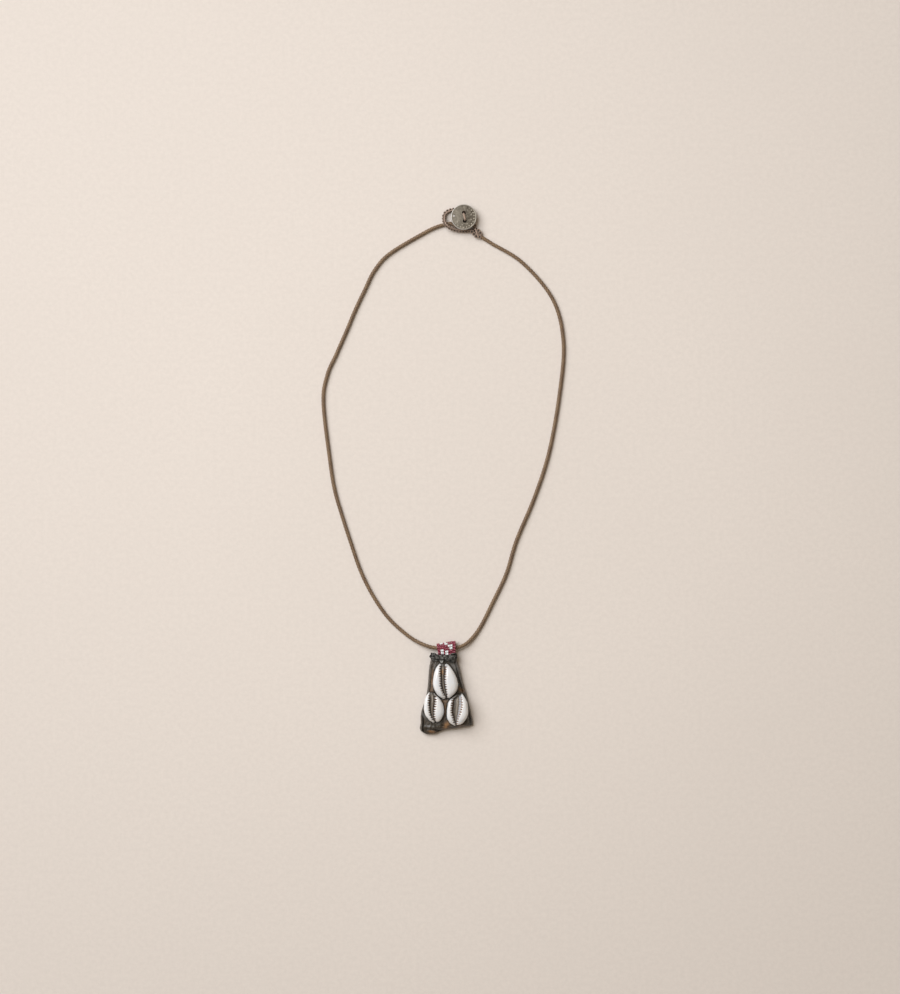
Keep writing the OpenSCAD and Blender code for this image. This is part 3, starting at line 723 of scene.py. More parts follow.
def stitch_finish(name, colour, dark, dusty=0.25, fuzz=0.2):
    """Thread in two tones, rubbed in places and with a little dust on top."""
    look = Finish(name, Roughness=0.6, Sheen_Weight=fuzz)
    cloud = look.grain(5200.0)
    look.tone = look.blend(cloud["Tone"], rgba(dark), rgba(colour))
    look.over(look.times(look.patches(700.0, 0.5, 0.2), 0.5), colour, 1.25)
    look.over(look.dust(900.0, dusty), (0.5, 0.43, 0.35))
    return look.done(cloud["Height"], 0.45, 0.00012)


def leather_finish(settings):
    """Blackened leather: streaks and flecks, then the rubbed rim, painted highlights with pale rubbed
    patches, the worn places, the dust, and painted shade in the folds, the side grooves and round the shells.
    """
    look = Finish("blackened_leather", Specular_IOR_Level=0.35, Coat_Weight=0.16, Coat_Roughness=0.1)
    grain, coarse = look.grain(1500.0), look.grain(420.0)
    rubbed = look.patches(330.0, 0.5, 0.16)
    streaks = look.shared("Streaks", streak_group, Across=1050.0, Along=300.0)["Tone"]
    greyed = look.patches(190.0, 0.48, 0.2)
    look.tone = look.blend(greyed, rgba(settings.colour), rgba(settings.colour, 1.7))
    look.over(look.ranged(streaks, 0.50, 0.68, 0.0, 0.8), (0.090, 0.076, 0.058))
    look.over(look.ranged(streaks, 0.48, 0.32, 0.0, 0.85), (0.046, 0.026, 0.013))
    look.over(look.times(look.patches(1350.0, 0.42, 0.07), 0.7), (0.142, 0.119, 0.09))
    look.over(look.ranged(grain["Tone"], 0.35, 0.65, 0.0, 0.4), settings.colour, 0.5)
    look.over(look.times(look.stored("rim"), look.ranged(rubbed, 0, 1, 0.1, 0.8)), (0.13, 0.10, 0.077))
    # Painted highlights, some pale rubbed patches too, broken up by the streaks
    highlight_and_rub = look.times(look.stored("highlight_and_rub"), look.ranged(streaks, 0.3, 0.7, 0.35, 1.0))
    look.over(highlight_and_rub, (0.235, 0.232, 0.230))
    brown = look.blend(grain["Tone"], rgba(settings.worn, 0.6), rgba(settings.worn))
    worn = look.times(look.stored("worn"), look.ranged(rubbed, 0, 1, 0.45, 1.15))
    look.tone = look.blend(worn, look.tone, brown)
    look.over(look.dust(700.0, 0.10), (0.31, 0.265, 0.21))
    # Painted shade: darkest in the folds, the grooves inside the sides and round the shells' seats, with some
    # on the underside and the sides
    look.over(look.times(look.stored("low"), 0.75), (0.012, 0.009, 0.007))
    look.rough(look.ranged(coarse["Tone"], 0.3, 0.7, 0.3, 0.58))
    height = look.plus(look.plus(grain["Height"], coarse["Height"], 2.0), streaks, 2.5)
    return look.done(height, 0.5, 0.00014)


def binding_finish():
    """Black thread stiffened with pitch, with a painted highlight in rubbed patches along the tops of its
    strands, and a pale painted highlight on its curl.
    """
    look = Finish("black_thread", Roughness=0.34, Specular_IOR_Level=0.12, Coat_Weight=0.14,
                  Coat_Roughness=0.08)
    cloud = look.grain(3600.0)
    dark, light = rgba((0.002, 0.002, 0.0018)), rgba((0.012, 0.0115, 0.0105))
    look.tone = look.blend(look.ranged(cloud["Tone"], 0.3, 0.7), dark, light)
    worn = look.ranged(look.patches(720.0, 0.48, 0.1), 0, 1, 0.06, 1.0)
    # Painted highlight where the strands' faces look up, in rubbed patches
    look.over(look.times(look.ranged(look.stored("top"), 0.66, 0.98), worn), (0.26, 0.254, 0.236))
    # Painted highlight on the curl at the foot of the binding
    look.over(look.stored("pale"), (0.44, 0.44, 0.42))
    look.over(look.dust(900.0, 0.05), (0.33, 0.31, 0.28))
    return look.done(cloud["Height"], 0.5, 0.00014)


def shell_finish(settings):
    """Glossy shell, soiled at its foot, brown in the grooves, with painted shade on the inner walls of its
    lips and on the slopes in shade, and tinted with the slit's colour at its ends and on a lip's lowered
    upper end.
    """
    look = Finish("cowrie_shell", Coat_Weight=0.2, Coat_Roughness=0.18, Subsurface_Weight=0.4,
                  Subsurface_Scale=0.003, Subsurface_Radius=(1.0, 0.92, 0.86))
    cloud = look.patches(260.0, 0.5, 0.3)
    notch = look.stored("notch")
    look.tone = look.blend(cloud, rgba(settings.colour), rgba((0.79, 0.775, 0.765)))
    look.over(look.times(look.patches(900.0, 0.42, 0.05), 0.06), (0.55, 0.42, 0.30))
    dirt = look.ranged(look.patches(1300.0, 0.5, 0.25), 0, 1, 0.4, 1.0)
    look.over(look.times(look.stored("foot"), dirt), (0.20, 0.10, 0.05))
    # Painted shade, blue-grey, on the inner walls of the lips as they go down into the slit
    look.over(look.times(look.stored("inside"), 0.85), (0.50, 0.51, 0.55))
    look.over(look.stored("shade"), (0.24, 0.25, 0.26))
    look.over(look.ranged(notch, 0.05, 0.4), settings.notch, 1.9)
    look.over(look.ranged(notch, 0.45, 0.85), settings.notch, 0.45)
    # The shell's ends and a lip's lowered upper end take the slit's colour
    look.over(look.stored("open_end"), settings.fill, 0.8)
    look.rough(look.ranged(notch, 0, 1, 0.2, 0.6))
    return look.done(cloud, 0.08, 0.0001)


def fill_finish(settings):
    """Dark pitch with a painted highlight along its ridge, with the ochre patch."""
    look = Finish("slit_pitch", Roughness=0.4)
    cloud = look.grain(1400.0)
    dark, light = rgba(settings.fill, 0.6), rgba(settings.fill, 1.6)
    look.tone = look.blend(look.ranged(cloud["Tone"], 0.3, 0.7), dark, light)
    # Painted highlight along the ridge of the pitch
    look.over(look.stored("ridge"), settings.fill, 2.1)
    look.over(look.stored("ochre"), (0.48, 0.27, 0.12))
    look.over(look.times(look.stored("outer"), 0.85), settings.fill, 0.32)
    return look.done(cloud["Height"], 0.5, 0.00018)


def bead_finish(name, colour, deep):
    look = Finish(name, Coat_Weight=0.4, Coat_Roughness=0.06)
    dust = look.dust(1500.0, 0.16)
    look.tone = look.blend(look.patches(500.0, 0.5, 0.3), rgba(colour), rgba(deep))
    look.over(look.stored("shade"), deep)
    look.over(dust, (0.62, 0.52, 0.50))
    look.rough(look.ranged(dust, 0.0, 0.2, 0.14, 0.4))
    return look.done()


def silver_finish(settings):
    """Worn silver: bright on the high relief, lighter on the rim with a painted highlight as well as rubbing,
    dark in the hollows of the face.
    """
    look = Finish("old_silver", Metallic=0.85)
    back = Matrix.Rotation(math.radians(COIN_LEAN), 3, COIN_AXIS).inverted()
    placed = look.node("Mapping", {"Vector": look.at, "Rotation": back.to_euler(),
                                   "Location": -(back @ COIN_MIDDLE) * MM}, vector_type="POINT")[0]
    parts = look.node("SeparateXYZ", {0: placed})
    flat = look.node("CombineXYZ", {"X": parts["X"], "Y": parts["Y"]})[0]
    far = look.node("VectorMath", {0: flat}, operation="LENGTH")["Value"]
    hollow = look.ranged(parts["Z"], (COIN_HALF + 0.06) * MM, (COIN_HALF - 0.01) * MM)
    low = look.times(hollow, look.ranged(parts["X"], -0.003, 0.004, 0.1, 0.8))
    grime = look.patches(420.0, 0.5, 0.16)
    pits = look.patches(1500.0, 0.46, 0.1)
    look.tone = look.blend(grime, rgba(settings.silver, 0.52), rgba(settings.silver, 0.78))
    look.over(low, (0.13, 0.108, 0.08))
    look.over(look.times(pits, look.times(low, 1.2)), (0.04, 0.030, 0.02))
    high = look.ranged(parts["Z"], (COIN_HALF + 0.02) * MM, (COIN_HALF + 0.16) * MM)
    look.over(look.times(high, 0.8), settings.silver)
    # Painted highlight round the rim, partly the rim rubbed bright
    rim = look.ranged(far, (COIN_RADIUS - 0.43) * MM, (COIN_RADIUS - 0.1) * MM, 0.0, 0.8)
    look.over(rim, (0.60, 0.60, 0.59))
    look.rough(look.ranged(grime, 0, 1, 0.66, 0.54))
    return look.done(look.plus(look.grain(2600.0)["Height"], pits, -1.0), 0.22, 0.00006)


def table_finish(settings):
    """A pale board with faint clouds and specks, with painted falloff of the light: a little darker away from
    the amulet.
    """
    look = Finish("pale_board", Roughness=0.9, Specular_IOR_Level=0.2)
    clouds = look.ranged(look.cloud(look.at, 9.0, 5.0, 0.6), 0.3, 0.7, 0.0, 0.35)
    look.tone = look.blend(clouds, rgba(settings.table), rgba(settings.table, 0.95))
    specks = look.ranged(look.cloud(look.at, 420.0, 3.0, 0.7), 0.35, 0.65, 0.0, 0.8)
    look.over(specks, settings.table, 0.93)
    # Painted falloff of the light, darker away from the amulet
    away = look.node("VectorMath", {0: look.at, 1: (0.0, 0.13, 0.0)}, operation="DISTANCE")["Value"]
    look.over(look.ranged(away, 0.14, 0.36, 0.0, 0.08), (0.08, 0.07, 0.062))
    return look.done(look.cloud(look.at, 900.0, 2.0), 0.1, 0.0002)


class AMULET_OT_camera(bpy.types.Operator):
    """Place the camera straight above the table, over the middle of the amulet"""
    bl_idname = "amulet.camera"
    bl_label = "Camera"

    def execute(self, context):
        settings = context.scene.amulet_studio
        only()
        bpy.ops.object.camera_add(location=(*CAMERA_PLACE, settings.distance), rotation=(0, 0, 0))
        camera = context.active_object
        camera.name = "camera"
        camera.data.sensor_fit = "VERTICAL"
        camera.data.sensor_height = SENSOR
        camera.data.lens = SENSOR * settings.distance / settings.frame_height
        camera.data.clip_start = 0.05
        camera.data.clip_end = 20
        context.scene.camera = camera
        return {"FINISHED"}


def braid_height(a, b):
    """How high the braid stands, from 0 to 1; a counts the strands of one way round, b those of the other."""
    over, under = (a, b) if (math.floor(a) + math.floor(b)) % 2 == 0 else (b, a)
    middle = math.cos(math.pi * (over % 1.0 - 0.5))
    crossing = math.cos(math.pi * (under % 1.0 - 0.5))
    return middle ** 0.6 * (0.35 + 0.65 * crossing ** 0.8)


class AMULET_OT_neck_cord(bpy.types.Operator):
    """Lay the braided cord along its route, from under the coin through the bail to the stitched shank"""
    bl_idname = "amulet.neck_cord"
    bl_label = "Neck cord"

    def execute(self, context):
        settings = context.scene.amulet_cord
        line = even_line(in_metres(CORD_ROUTE), CORD_STEP * MM)
        step = (line[1] - line[0]).length
        verts, heights, uvs = [], [], []
        for i, p in enumerate(line):
            s, u = across(line, i)
            run = i * step / settings.turn
            for k in range(CORD_CORNERS):
                v = k / CORD_CORNERS
                turn = math.tau * v
                high = braid_height(settings.strands * (v + run), settings.strands * (v - run))
                radius = settings.diameter / 2 * (0.86 + 0.17 * high)
                q = p + radius * (math.cos(turn) * s + math.sin(turn) * u)
                verts.append((q.x, q.y, max(q.z, 0.00003)))
                heights.append((high,))
                uvs.append((run, v))
        last = len(verts) - CORD_CORNERS
        faces = []
        for i in range(0, last, CORD_CORNERS):
            for k in range(CORD_CORNERS):
                a, b = i + k, i + (k + 1) % CORD_CORNERS
                faces.append((a, b, b + CORD_CORNERS, a + CORD_CORNERS))
        faces.append(tuple(reversed(range(CORD_CORNERS))))
        faces.append(tuple(range(last, len(verts))))
        mesh = bpy.data.meshes.new("braided_cord")
        mesh.from_pydata(verts, [], faces)
        layer = mesh.uv_layers.new(name="along_cord")
        for loop in mesh.loops:
            layer.data[loop.index].uv = uvs[loop.vertex_index]
        cord = bpy.data.objects.new("braided_cord", mesh)
        context.scene.collection.objects.link(cord)
        face_outwards(cord)
        set_values(cord, ["strand"], heights)
        dress(cord, braid_finish(settings), "cord", "neck_cord")
        return {"FINISHED"}


def outline(rows, ends):
    """A shell seen from above: down its left side, then up its right side."""
    return ([ends[0]] + [(row[1], row[0]) for row in rows] + [ends[3], ends[5]]
            + [(row[4], row[0]) for row in reversed(rows)] + [ends[2]])


def outside(line, x, y):
    """How far a place lies outside an outline, negative within it."""
    far = -1e9
    for (ax, ay), (bx, by) in zip(line, line[1:] + line[:1]):
        dx, dy = bx - ax, by - ay
        far = max(far, ((x - ax) * dy - (y - ay) * dx) / math.hypot(dx, dy))
    return far


def fold_depth(x, y):
    """Depth of all folds of the leather at a place, in parts of the deepest."""
    total = 0.0
    for ax, ay, bx, by, half, depth in FOLDS:
        dx, dy = bx - ax, by - ay
        t = max(0.0, min(1.0, ((x - ax) * dx + (y - ay) * dy) / (dx * dx + dy * dy)))
        far = math.hypot(x - ax - t * dx, y - ay - t * dy) / half
        if far < 4:
            total += depth * math.exp(-far * far)
    return total


def foot_flap(s):
    """How far the flap hangs below the foot's straight edge, in millimetres; s runs from left to right."""
    flap = 1.6 * step_up(-0.02, 0.09, s) * step_up(0.35, 0.24, s)
    return flap + 0.3 * math.sin(math.pi * max(0.0, min(1.0, s)))


def marked_at(places, x, y):
    """How strongly a place is marked by a table of places, from 0 up."""
    most = 0.0
    for cx, cy, long, wide, turn, strength in places:
        c, s = math.cos(math.radians(turn)), math.sin(math.radians(turn))
        u, v = ((x - cx) * c + (y - cy) * s) / long, (-(x - cx) * s + (y - cy) * c) / wide
        most = max(most, strength * math.exp(-1.2 * (u * u + v * v)))
    return most


def wrinkles(x, y):
    """Height of the leather's wrinkles at a place: long ones, creases along the packet and some across it."""
    lift = noise.fractal(Vector((x * 0.5, y * 0.12, 3.1)), 1.0, 2.0, 5)
    creased = noise.ridged_multi_fractal(Vector((x * 0.75 + 7, y * 0.22, 1.7)), 0.9, 2.1, 4, 1.0, 2.0)
    crossed = noise.ridged_multi_fractal(Vector((x * 0.4 + 2, y * 0.6, 8.7)), 0.9, 2.1, 3, 1.0, 2.0)
    return lift * 1.2 - 0.7 * (creased - 1.0) - 0.3 * (crossed - 1.0)


def top_height(settings, outlines, x, y, s, width, part, under):
    """Height of the packet's top at a place, s of the width from its left, and how much painted shade it
    takes there.
    """
    crown_h, edge_h, seat_h = settings.crown / MM, settings.edge / MM, settings.seat / MM
    edge = min(s, 1 - s) * width
    bulge = max(0.0, 1 - abs(2 * s - 1) ** 3.4) ** 0.55
    crown = edge_h * part + (crown_h - edge_h) * part * bulge
    groove = settings.groove / MM * bell(edge, 1.4, 0.32)
    seam = 0.18 * bell(edge, 0.75, 0.35)
    fold = fold_depth(x, y)
    far = min(outside(line, x, y) for line in outlines)
    rough = settings.wrinkle / MM * wrinkles(x, y) * (0.3 + 0.7 * step_up(0.0, 1.2, far))
    top = crown - groove + seam - 0.9 * fold + rough
    far += 0.12 * wobble(x * 0.9, y * 0.9, 6.0)
    rolled = seat_h + 0.75 + 0.25 * bell(far, 0.75, 0.35)
    hug = min(top, rolled + (top - rolled) * step_up(0.25, 2.2, far))
    top = hug if far > 0.0 else min(top, seat_h)
    # sunk is the painted shade: in the folds, in the groove inside each side and in a dark line round each
    # shell's seat
    sunk = 0.9 * max(0.0, fold) + bell(edge, 1.4, 0.3) * 0.5 + 0.9 * step_up(0.55, 0.1, abs(far))
    return max(under + 0.6, top), min(1.0, sunk)


class AMULET_OT_packet(bpy.types.Operator):
    """Shape the folded leather packet, with its seats for the shells, its folds and its worn places"""
    bl_idname = "amulet.packet"
    bl_label = "Leather packet"

    def execute(self, context):
        settings = context.scene.amulet_packet
        edge_h = settings.edge / MM
        outlines = [outline(rows, ends) for _, rows, ends, *_ in SHELLS]
        notes = []

        def place(t, f):
            down = t * (len(PACKET_ROWS) - 1)
            ax, ay, bx, by, part, under = along(PACKET_ROWS, down)
            under = max(0.0, under)
            droop = max(0.0, 1 - (len(PACKET_ROWS) - 1 - down) / 4) ** 1.5
            if t in (0.0, 1.0):
                x, y, z = (ax + bx) / 2, (ay + by) / 2, under + part * edge_h * 0.7
                notes.append((0.6, 0.0, 0.0, 0.0))
            elif f < TOP_PART:
                s = 0.015 + 0.97 * (1 - f / TOP_PART)
                width = math.hypot(bx - ax, by - ay)
                x = ax + (bx - ax) * s
                y = ay + (by - ay) * s - droop * foot_flap(s)
                z, sunk = top_height(settings, outlines, x, y, s, width, part, under)
                edge = min(s, 1 - s) * width
                z -= (1 - min(1.0, edge / 0.9)) ** 2 * 0.5 * part
                notes.append((sunk, marked_at(WORN_PLACES, x, y), bell(edge, 0, 0.7),
                              marked_at(HIGHLIGHT_AND_RUB_PLACES, x, y)))
            elif TOP_PART + SIDE_PART < f < 1 - SIDE_PART:
                s = (f - TOP_PART - SIDE_PART) / (1 - TOP_PART - 2 * SIDE_PART)
                x = ax + (bx - ax) * s - 0.882 * (2 * s - 1)
                y = ay + (by - ay) * s - droop * foot_flap(s)
                z = under
                notes.append((0.3, 0.0, 0.0, 0.0))
            else:
                left = f < 1 - SIDE_PART
                w = (f - TOP_PART) / SIDE_PART if left else (1 - f) / SIDE_PART
                tuck = 0.9 * w ** 2 - 0.1
                x = ax + tuck if left else bx - tuck
                x += 0.22 * wobble(0.0, t * 22, 5.0) * math.sin(math.pi * w)
                y = ay - droop * foot_flap(0.0) if left else by
                z = (under + edge_h * part * 0.75) * (1 - w) + under * w
                notes.append((0.2, 0.0, 0.7 * (1 - w), 0.0))
            return Vector((x, y, z)) * MM

        packet = round_form("leather_packet", PACKET_SEGMENTS, PACKET_RINGS, place)
        # low holds the painted shade, rim the rubbed edge, the last column the painted highlights and pale
        # rubbed patches
        set_values(packet, ["low", "worn", "rim", "highlight_and_rub"], notes)
        dress(packet, leather_finish(settings), "packet_leather", "packet")
        return {"FINISHED"}


def lip_height(ends, rise, y):
    """Height of a shell's lips over their seat at a height y."""
    top, foot = max(ends[0][1], ends[2][1]), min(ends[3][1], ends[5][1])
    t = abs(2 * (y - foot) / (top - foot) - 1)
    return rise * max(0.42, max(0.0, 1 - t ** 3.2) ** 0.5)


def lip_sections(rows, ends, rise):
    """Sections round a shell's slit: down the left lip, round the foot, up the right lip and round the top.
    Each is outer x, y, inner x, y, rise and lean side (1 left, -1 right, 0 at an end)."""
    first, last = rows[0], rows[-1]
    foot_y, top_y = last[0] - 0.1, first[0] + 0.1
    foot_mid, top_mid = (last[2] + last[3]) / 2, (first[2] + first[3]) / 2
    marks = [(r[1], r[0], r[2], r[0], lip_height(ends, rise, r[0]), 1.0) for r in rows]
    marks += [(*ends[3], last[2] + 0.1, foot_y, rise * 0.30, 0.3),
              (*ends[4], foot_mid, foot_y - 0.1, rise * 0.14, 0.0),
              (*ends[5], last[3] - 0.1, foot_y, rise * 0.30, -0.3)]
    marks += [(r[4], r[0], r[3], r[0], lip_height(ends, rise, r[0]), -1.0) for r in reversed(rows)]
    marks += [(*ends[2], first[3] - 0.1, top_y, rise * 0.24, -0.3),
              (*ends[1], top_mid, top_y + 0.1, rise * 0.08, 0.0),
              (*ends[0], first[2] + 0.1, top_y, rise * 0.24, 0.3)]
    fine, run = [], [0.0]
    for i in range(len(marks)):
        four = [marks[(i + k) % len(marks)] for k in (-1, 0, 1, 2)]
        fine += [along(four, 1 + j / 16) for j in range(16)]
    for a, b in zip(fine, fine[1:] + fine[:1]):
        run.append(run[-1] + math.hypot(b[0] - a[0], b[1] - a[1]) + 2 * math.hypot(b[2] - a[2], b[3] - a[3]))
    made, j = [], 0
    for i in range(SHELL_SECTIONS):
        want = run[-1] * i / SHELL_SECTIONS
        while run[j + 1] < want:
            j += 1
        f = (want - run[j]) / max(1e-9, run[j + 1] - run[j])
        made.append(tuple(p + (q - p) * f for p, q in zip(fine[j], fine[(j + 1) % len(fine)])))
    return made


def row_at(rows, y):
    """The section of a shell at a height y."""
    for i, (a, b) in enumerate(zip(rows, rows[1:])):
        if a[0] >= y >= b[0]:
            return along(rows, i + (a[0] - y) / (a[0] - b[0]))
    return rows[0] if y > rows[0][0] else rows[-1]


def shell_form(name, rows, ends, rise, leans, teeth, cover, base, pitch):
    """A cut cowrie: two toothed lips round an open slit, the upper end of one lip lowered and darkened."""
    dim_side, dim_low, dim_high = cover
    sections = lip_sections(rows, ends, rise)
    run = [0.0]
    for a, b in zip(sections, sections[1:]):
        run.append(run[-1] + math.hypot(b[2] - a[2], b[3] - a[3]))
    top, foot = rows[0][0], rows[-1][0]
    notes = []

    def place(i, j):
        ox, oy, ix, iy, high, side = sections[i]
        left = side > 0
        lean, depth = (leans[0], teeth[0]) if left else (leans[1], teeth[1])
        f, g = along(LIP_PROFILE, j / (SHELL_CORNERS - 1) * (len(LIP_PROFILE) - 1))
        reach = step_up(top - 0.2, top - 1.2, iy) * step_up(foot + 0.1, foot + 0.9, iy) * min(1.0, abs(side))
        saw = (run[i] / pitch + 0.16 * wobble(run[i] * 0.45, side * 5, 7.7)) % 1.0
        slit = row_at(rows, iy)
        way = Vector((ix - ox, iy - oy, 0))
        length = way.length or 1.0
        depth *= 1 + 0.35 * wobble(run[i] * 0.8, side * 3, 2.2)
        away = (1 - f) * length / depth
        deep = max(0.0, 1 - away)
        cut = 0.0
        if j > SHELL_CORNERS * 0.45 and deep > 0:
            cut = step_up(0.0, 0.22, 1 - abs(2 * saw - 1) - 0.3 - 0.7 * away) * reach
        down = step_up(0.62, 0.0, g) if f > 0.9 else 0.0
        bare = min(1.0, 2 * lean) * step_up(0.88, 0.66, g) if f > 0.9 else 0.0
        shade = marked_at(SHELL_SHADES, ox + (ix - ox) * f, oy + (iy - oy) * f)
        p = Vector((ox, oy, 0)) + way * f
        p -= way / length * cut * deep * 0.32 * depth * (1 - 0.5 * down) * (1 - 0.8 * bare)
        p.x += (1 if left else -1) * lean * (slit[3] - slit[2]) * down * min(1.0, abs(side))
        swell = 0.16 * wobble(p.x * 0.4, p.y * 0.4, 9.0) * math.sin(math.pi * min(1.0, g))
        # covered lowers a lip's upper end and tints it with the slit's colour
        covered = step_up(dim_low, dim_high, iy) if side * dim_side > 0 else 0.0
        z = base + high * g * (1 - 0.16 * cut * deep) + swell - 0.3 * covered * high * g
        notch = cut * (0.35 + 0.65 * deep) * (1 - 0.75 * down) * (1 - 0.85 * bare) * (1 - 0.45 * shade)
        # inside is painted shade on a lip's inner wall, stronger deeper down
        inside = step_up(0.92, 0.5, g) if f > 0.93 else 0.0
        soiled = step_up(0.2, 0.0, g) if f < 0.5 else 0.0
        notes.append((notch, inside, soiled, max(step_up(0.62, 0.25, abs(side)), 0.85 * covered), shade))
        return Vector((p.x, p.y, z)) * MM

    shell = ring_form(name, SHELL_SECTIONS, SHELL_CORNERS, place)
    set_values(shell, ["notch", "inside", "foot", "open_end", "shade"], notes)
    return shell


def fill_form(name, rows, rise, filled, base):
    """The ridge of pitch in a shell's slit, running out a little past its ends."""
    ochre_x, ochre_y, ochre_wide, ochre_long = OCHRE_PATCH
    notes = []

    def place(t, f):
        row = along(rows, t * (len(rows) - 1))
        y = row[0] + step_up(0.12, 0.0, t) - 0.7 * step_up(0.9, 1.0, t)
        half = (row[3] - row[2]) / 2 + 0.12
        middle = (row[2] + row[3]) / 2
        turn = math.tau * f
        x = middle if t in (0.0, 1.0) else middle + half * math.cos(turn)
        ridge = bell(x, middle + 0.12 * half, 0.28 * half)
        high = rise * (filled + 0.16 * ridge) * math.sin(math.pi * t) ** 0.22
        high += 0.12 * wobble(x * 1.5, y * 0.8, 4.0)
        outer = max(step_up(0.13, 0.03, t), step_up(0.9, 0.98, t))
        up = max(0.0, math.sin(turn))
        ochre = bell(x, ochre_x, ochre_wide) * bell(y, ochre_y, ochre_long)
        notes.append((ridge * (1 - outer) if up > 0 else 0.0, ochre, outer))
        return Vector((x, y, base + high * (1 - 0.35 * outer) * up ** 0.4)) * MM

    fill = round_form(name, FILL_SEGMENTS, FILL_RINGS, place)
    set_values(fill, ["ridge", "ochre", "outer"], notes)
    return fill


class AMULET_OT_cowries(bpy.types.Operator):
    """Shape the three cut cowrie shells and the dark fill in their slits"""
    bl_idname = "amulet.cowries"
    bl_label = "Cowrie shells"

    def execute(self, context):
        settings = context.scene.amulet_shells
        base = context.scene.amulet_packet.seat / MM + SEAT_GAP
        enamel = shell_finish(settings)
        pitch = fill_finish(settings)
        for name, rows, ends, rise, filled, left_lean, right_lean, left_teeth, right_teeth, cover in SHELLS:
            shell = shell_form(name + "_shell", rows, ends, rise, (left_lean, right_lean),
                               (left_teeth, right_teeth), cover, base, settings.pitch / MM)
            dress(shell, enamel, "shell", name)
            dress(fill_form(name + "_fill", rows, rise, filled, base), pitch, "packet_leather")
        return {"FINISHED"}


def on_band(run, diameter):
    """y and z of the middle of the bail's band, that far up its front and over its bend."""
    radius = (BAIL_DEPTH - diameter) / 2
    over = run - BAIL_FOOT - BAIL_BEND
    if over < 0:
        return run - BAIL_FOOT, BAIL_DEPTH - diameter / 2
    if over < math.pi * radius:
        return BAIL_BEND + radius * math.sin(over / radius), BAIL_DEPTH / 2 + radius * math.cos(over / radius)
    return BAIL_BEND - (over - math.pi * radius), diameter / 2


def laid(x, y, z):
    """A place on the band as it lies: the band narrows towards its foot, and its rows climb to the right."""
    left, low = BAIL_PLACE
    return Vector((left - 0.083 * y + x * (0.96 + 0.02 * y), low + y + BAIL_CLIMB * x, z)) * MM


def bead_form(width, diameter):
    """A seed bead, its hole along x, shaped from a torus of squarish section."""
    around, over = 10, 6
    bead = torus("bead", around, over)
    for index, vertex in enumerate(bead.data.vertices):
        turn = math.tau * (index // over) / around
        a = math.tau * (index % over + 0.5) / over
        out = diameter * (0.33 + 0.17 * signed(math.cos(a), 0.4))
        lie = width / 2 * signed(math.sin(a), 0.4)
        vertex.co = Vector((lie, out * math.cos(turn), out * math.sin(turn))) * MM
    return face_outwards(bead)


def lining_form(width, diameter):
    """The threads and the inner side of the band, in one closed ring inside the beads."""
    half = width * len(BEAD_COLUMNS) / 2 - 0.15
    radius = (BAIL_DEPTH - diameter) / 2
    sections, corners = 40, 12

    def place(i, j):
        a, b = math.tau * i / sections, math.tau * j / corners
        c, s = math.cos(a), math.sin(a)
        y = (BAIL_BEND + radius - BAIL_FOOT) / 2 + (BAIL_FOOT + BAIL_BEND + radius) / 2 * signed(c, 0.45)
        z = (radius - 0.12) * signed(s, 0.8)
        if y > BAIL_BEND:
            z = math.copysign(math.sqrt(max(0.0, radius ** 2 - (y - BAIL_BEND) ** 2)), s)
        away = Vector((y + 0.6 - BAIL_BEND / 2, z)).normalized() * 0.28 * signed(math.sin(b), 0.6)
        return laid(half * signed(math.cos(b), 0.3), y + away.x, BAIL_DEPTH / 2 + z + away.y)

    return ring_form("bead_thread", sections, corners, place)


class AMULET_OT_bead_bail(bpy.types.Operator):
    """String the seed beads of the bail over the cord"""
    bl_idname = "amulet.bead_bail"
    bl_label = "Bead bail"

    def execute(self, context):
        settings = context.scene.amulet_beads
        rng = random.Random(7)
        width, diameter = settings.width / MM, settings.diameter / MM
        total = 2 * (BAIL_FOOT + BAIL_BEND) + math.pi * (BAIL_DEPTH - diameter) / 2
        white = {(c, k) for left, right, first, last in WHITE_BEADS
                 for c in range(left, right + 1) for k in range(first, last + 1)}
        climb = Matrix.Rotation(math.atan(BAIL_CLIMB), 4, "Z")
        places, whites = [], []
        for column, offset in enumerate(BEAD_COLUMNS):
            x = (column - (len(BEAD_COLUMNS) - 1) / 2) * width
            for k in range(int((total - 0.8 - offset) / diameter) + 1):
                y, z = on_band(0.45 + offset + k * diameter, diameter)
                tilt = Matrix.Rotation(rng.uniform(-0.05, 0.05), 4, "Z")
                roll = Matrix.Rotation(rng.uniform(0, 6.28), 4, "X")
                full = 1.05 if (column, k) in white else 1.0
                size = (rng.uniform(0.95, 1.02) * full, *[rng.uniform(0.97, 1.02) * full] * 2, 1)
                spot = Matrix.Translation(laid(x, y + rng.uniform(-0.04, 0.04), z))
                places.append(spot @ climb @ (tilt @ roll) @ Matrix.Diagonal(size))
                whites.append((column, k) in white)
        beads = copies(bead_form(width, diameter), places)
        for bead in beads:
            set_values(bead, ["shade"], [(rng.uniform(0, 0.55),)] * len(bead.data.vertices))
        red = bead_finish("crimson_glass", settings.red, (0.16, 0.005, 0.03))
        pale = bead_finish("white_glass", settings.white, (0.66, 0.72, 0.73))
        crimson = merge("crimson_beads", [b for b, w in zip(beads, whites) if not w])
        dress(crimson, red, "seed_beads", "bead_bail")
        snow = merge("white_beads", [b for b, w in zip(beads, whites) if w])
        dress(snow, pale, "seed_beads", "bead_bail")
        thread = stitch_finish("bead_thread", (0.20, 0.012, 0.045), (0.09, 0.006, 0.02), dusty=0.05, fuzz=0.0)
        dress(lining_form(width, diameter), thread, "seed_beads")
        return {"FINISHED"}


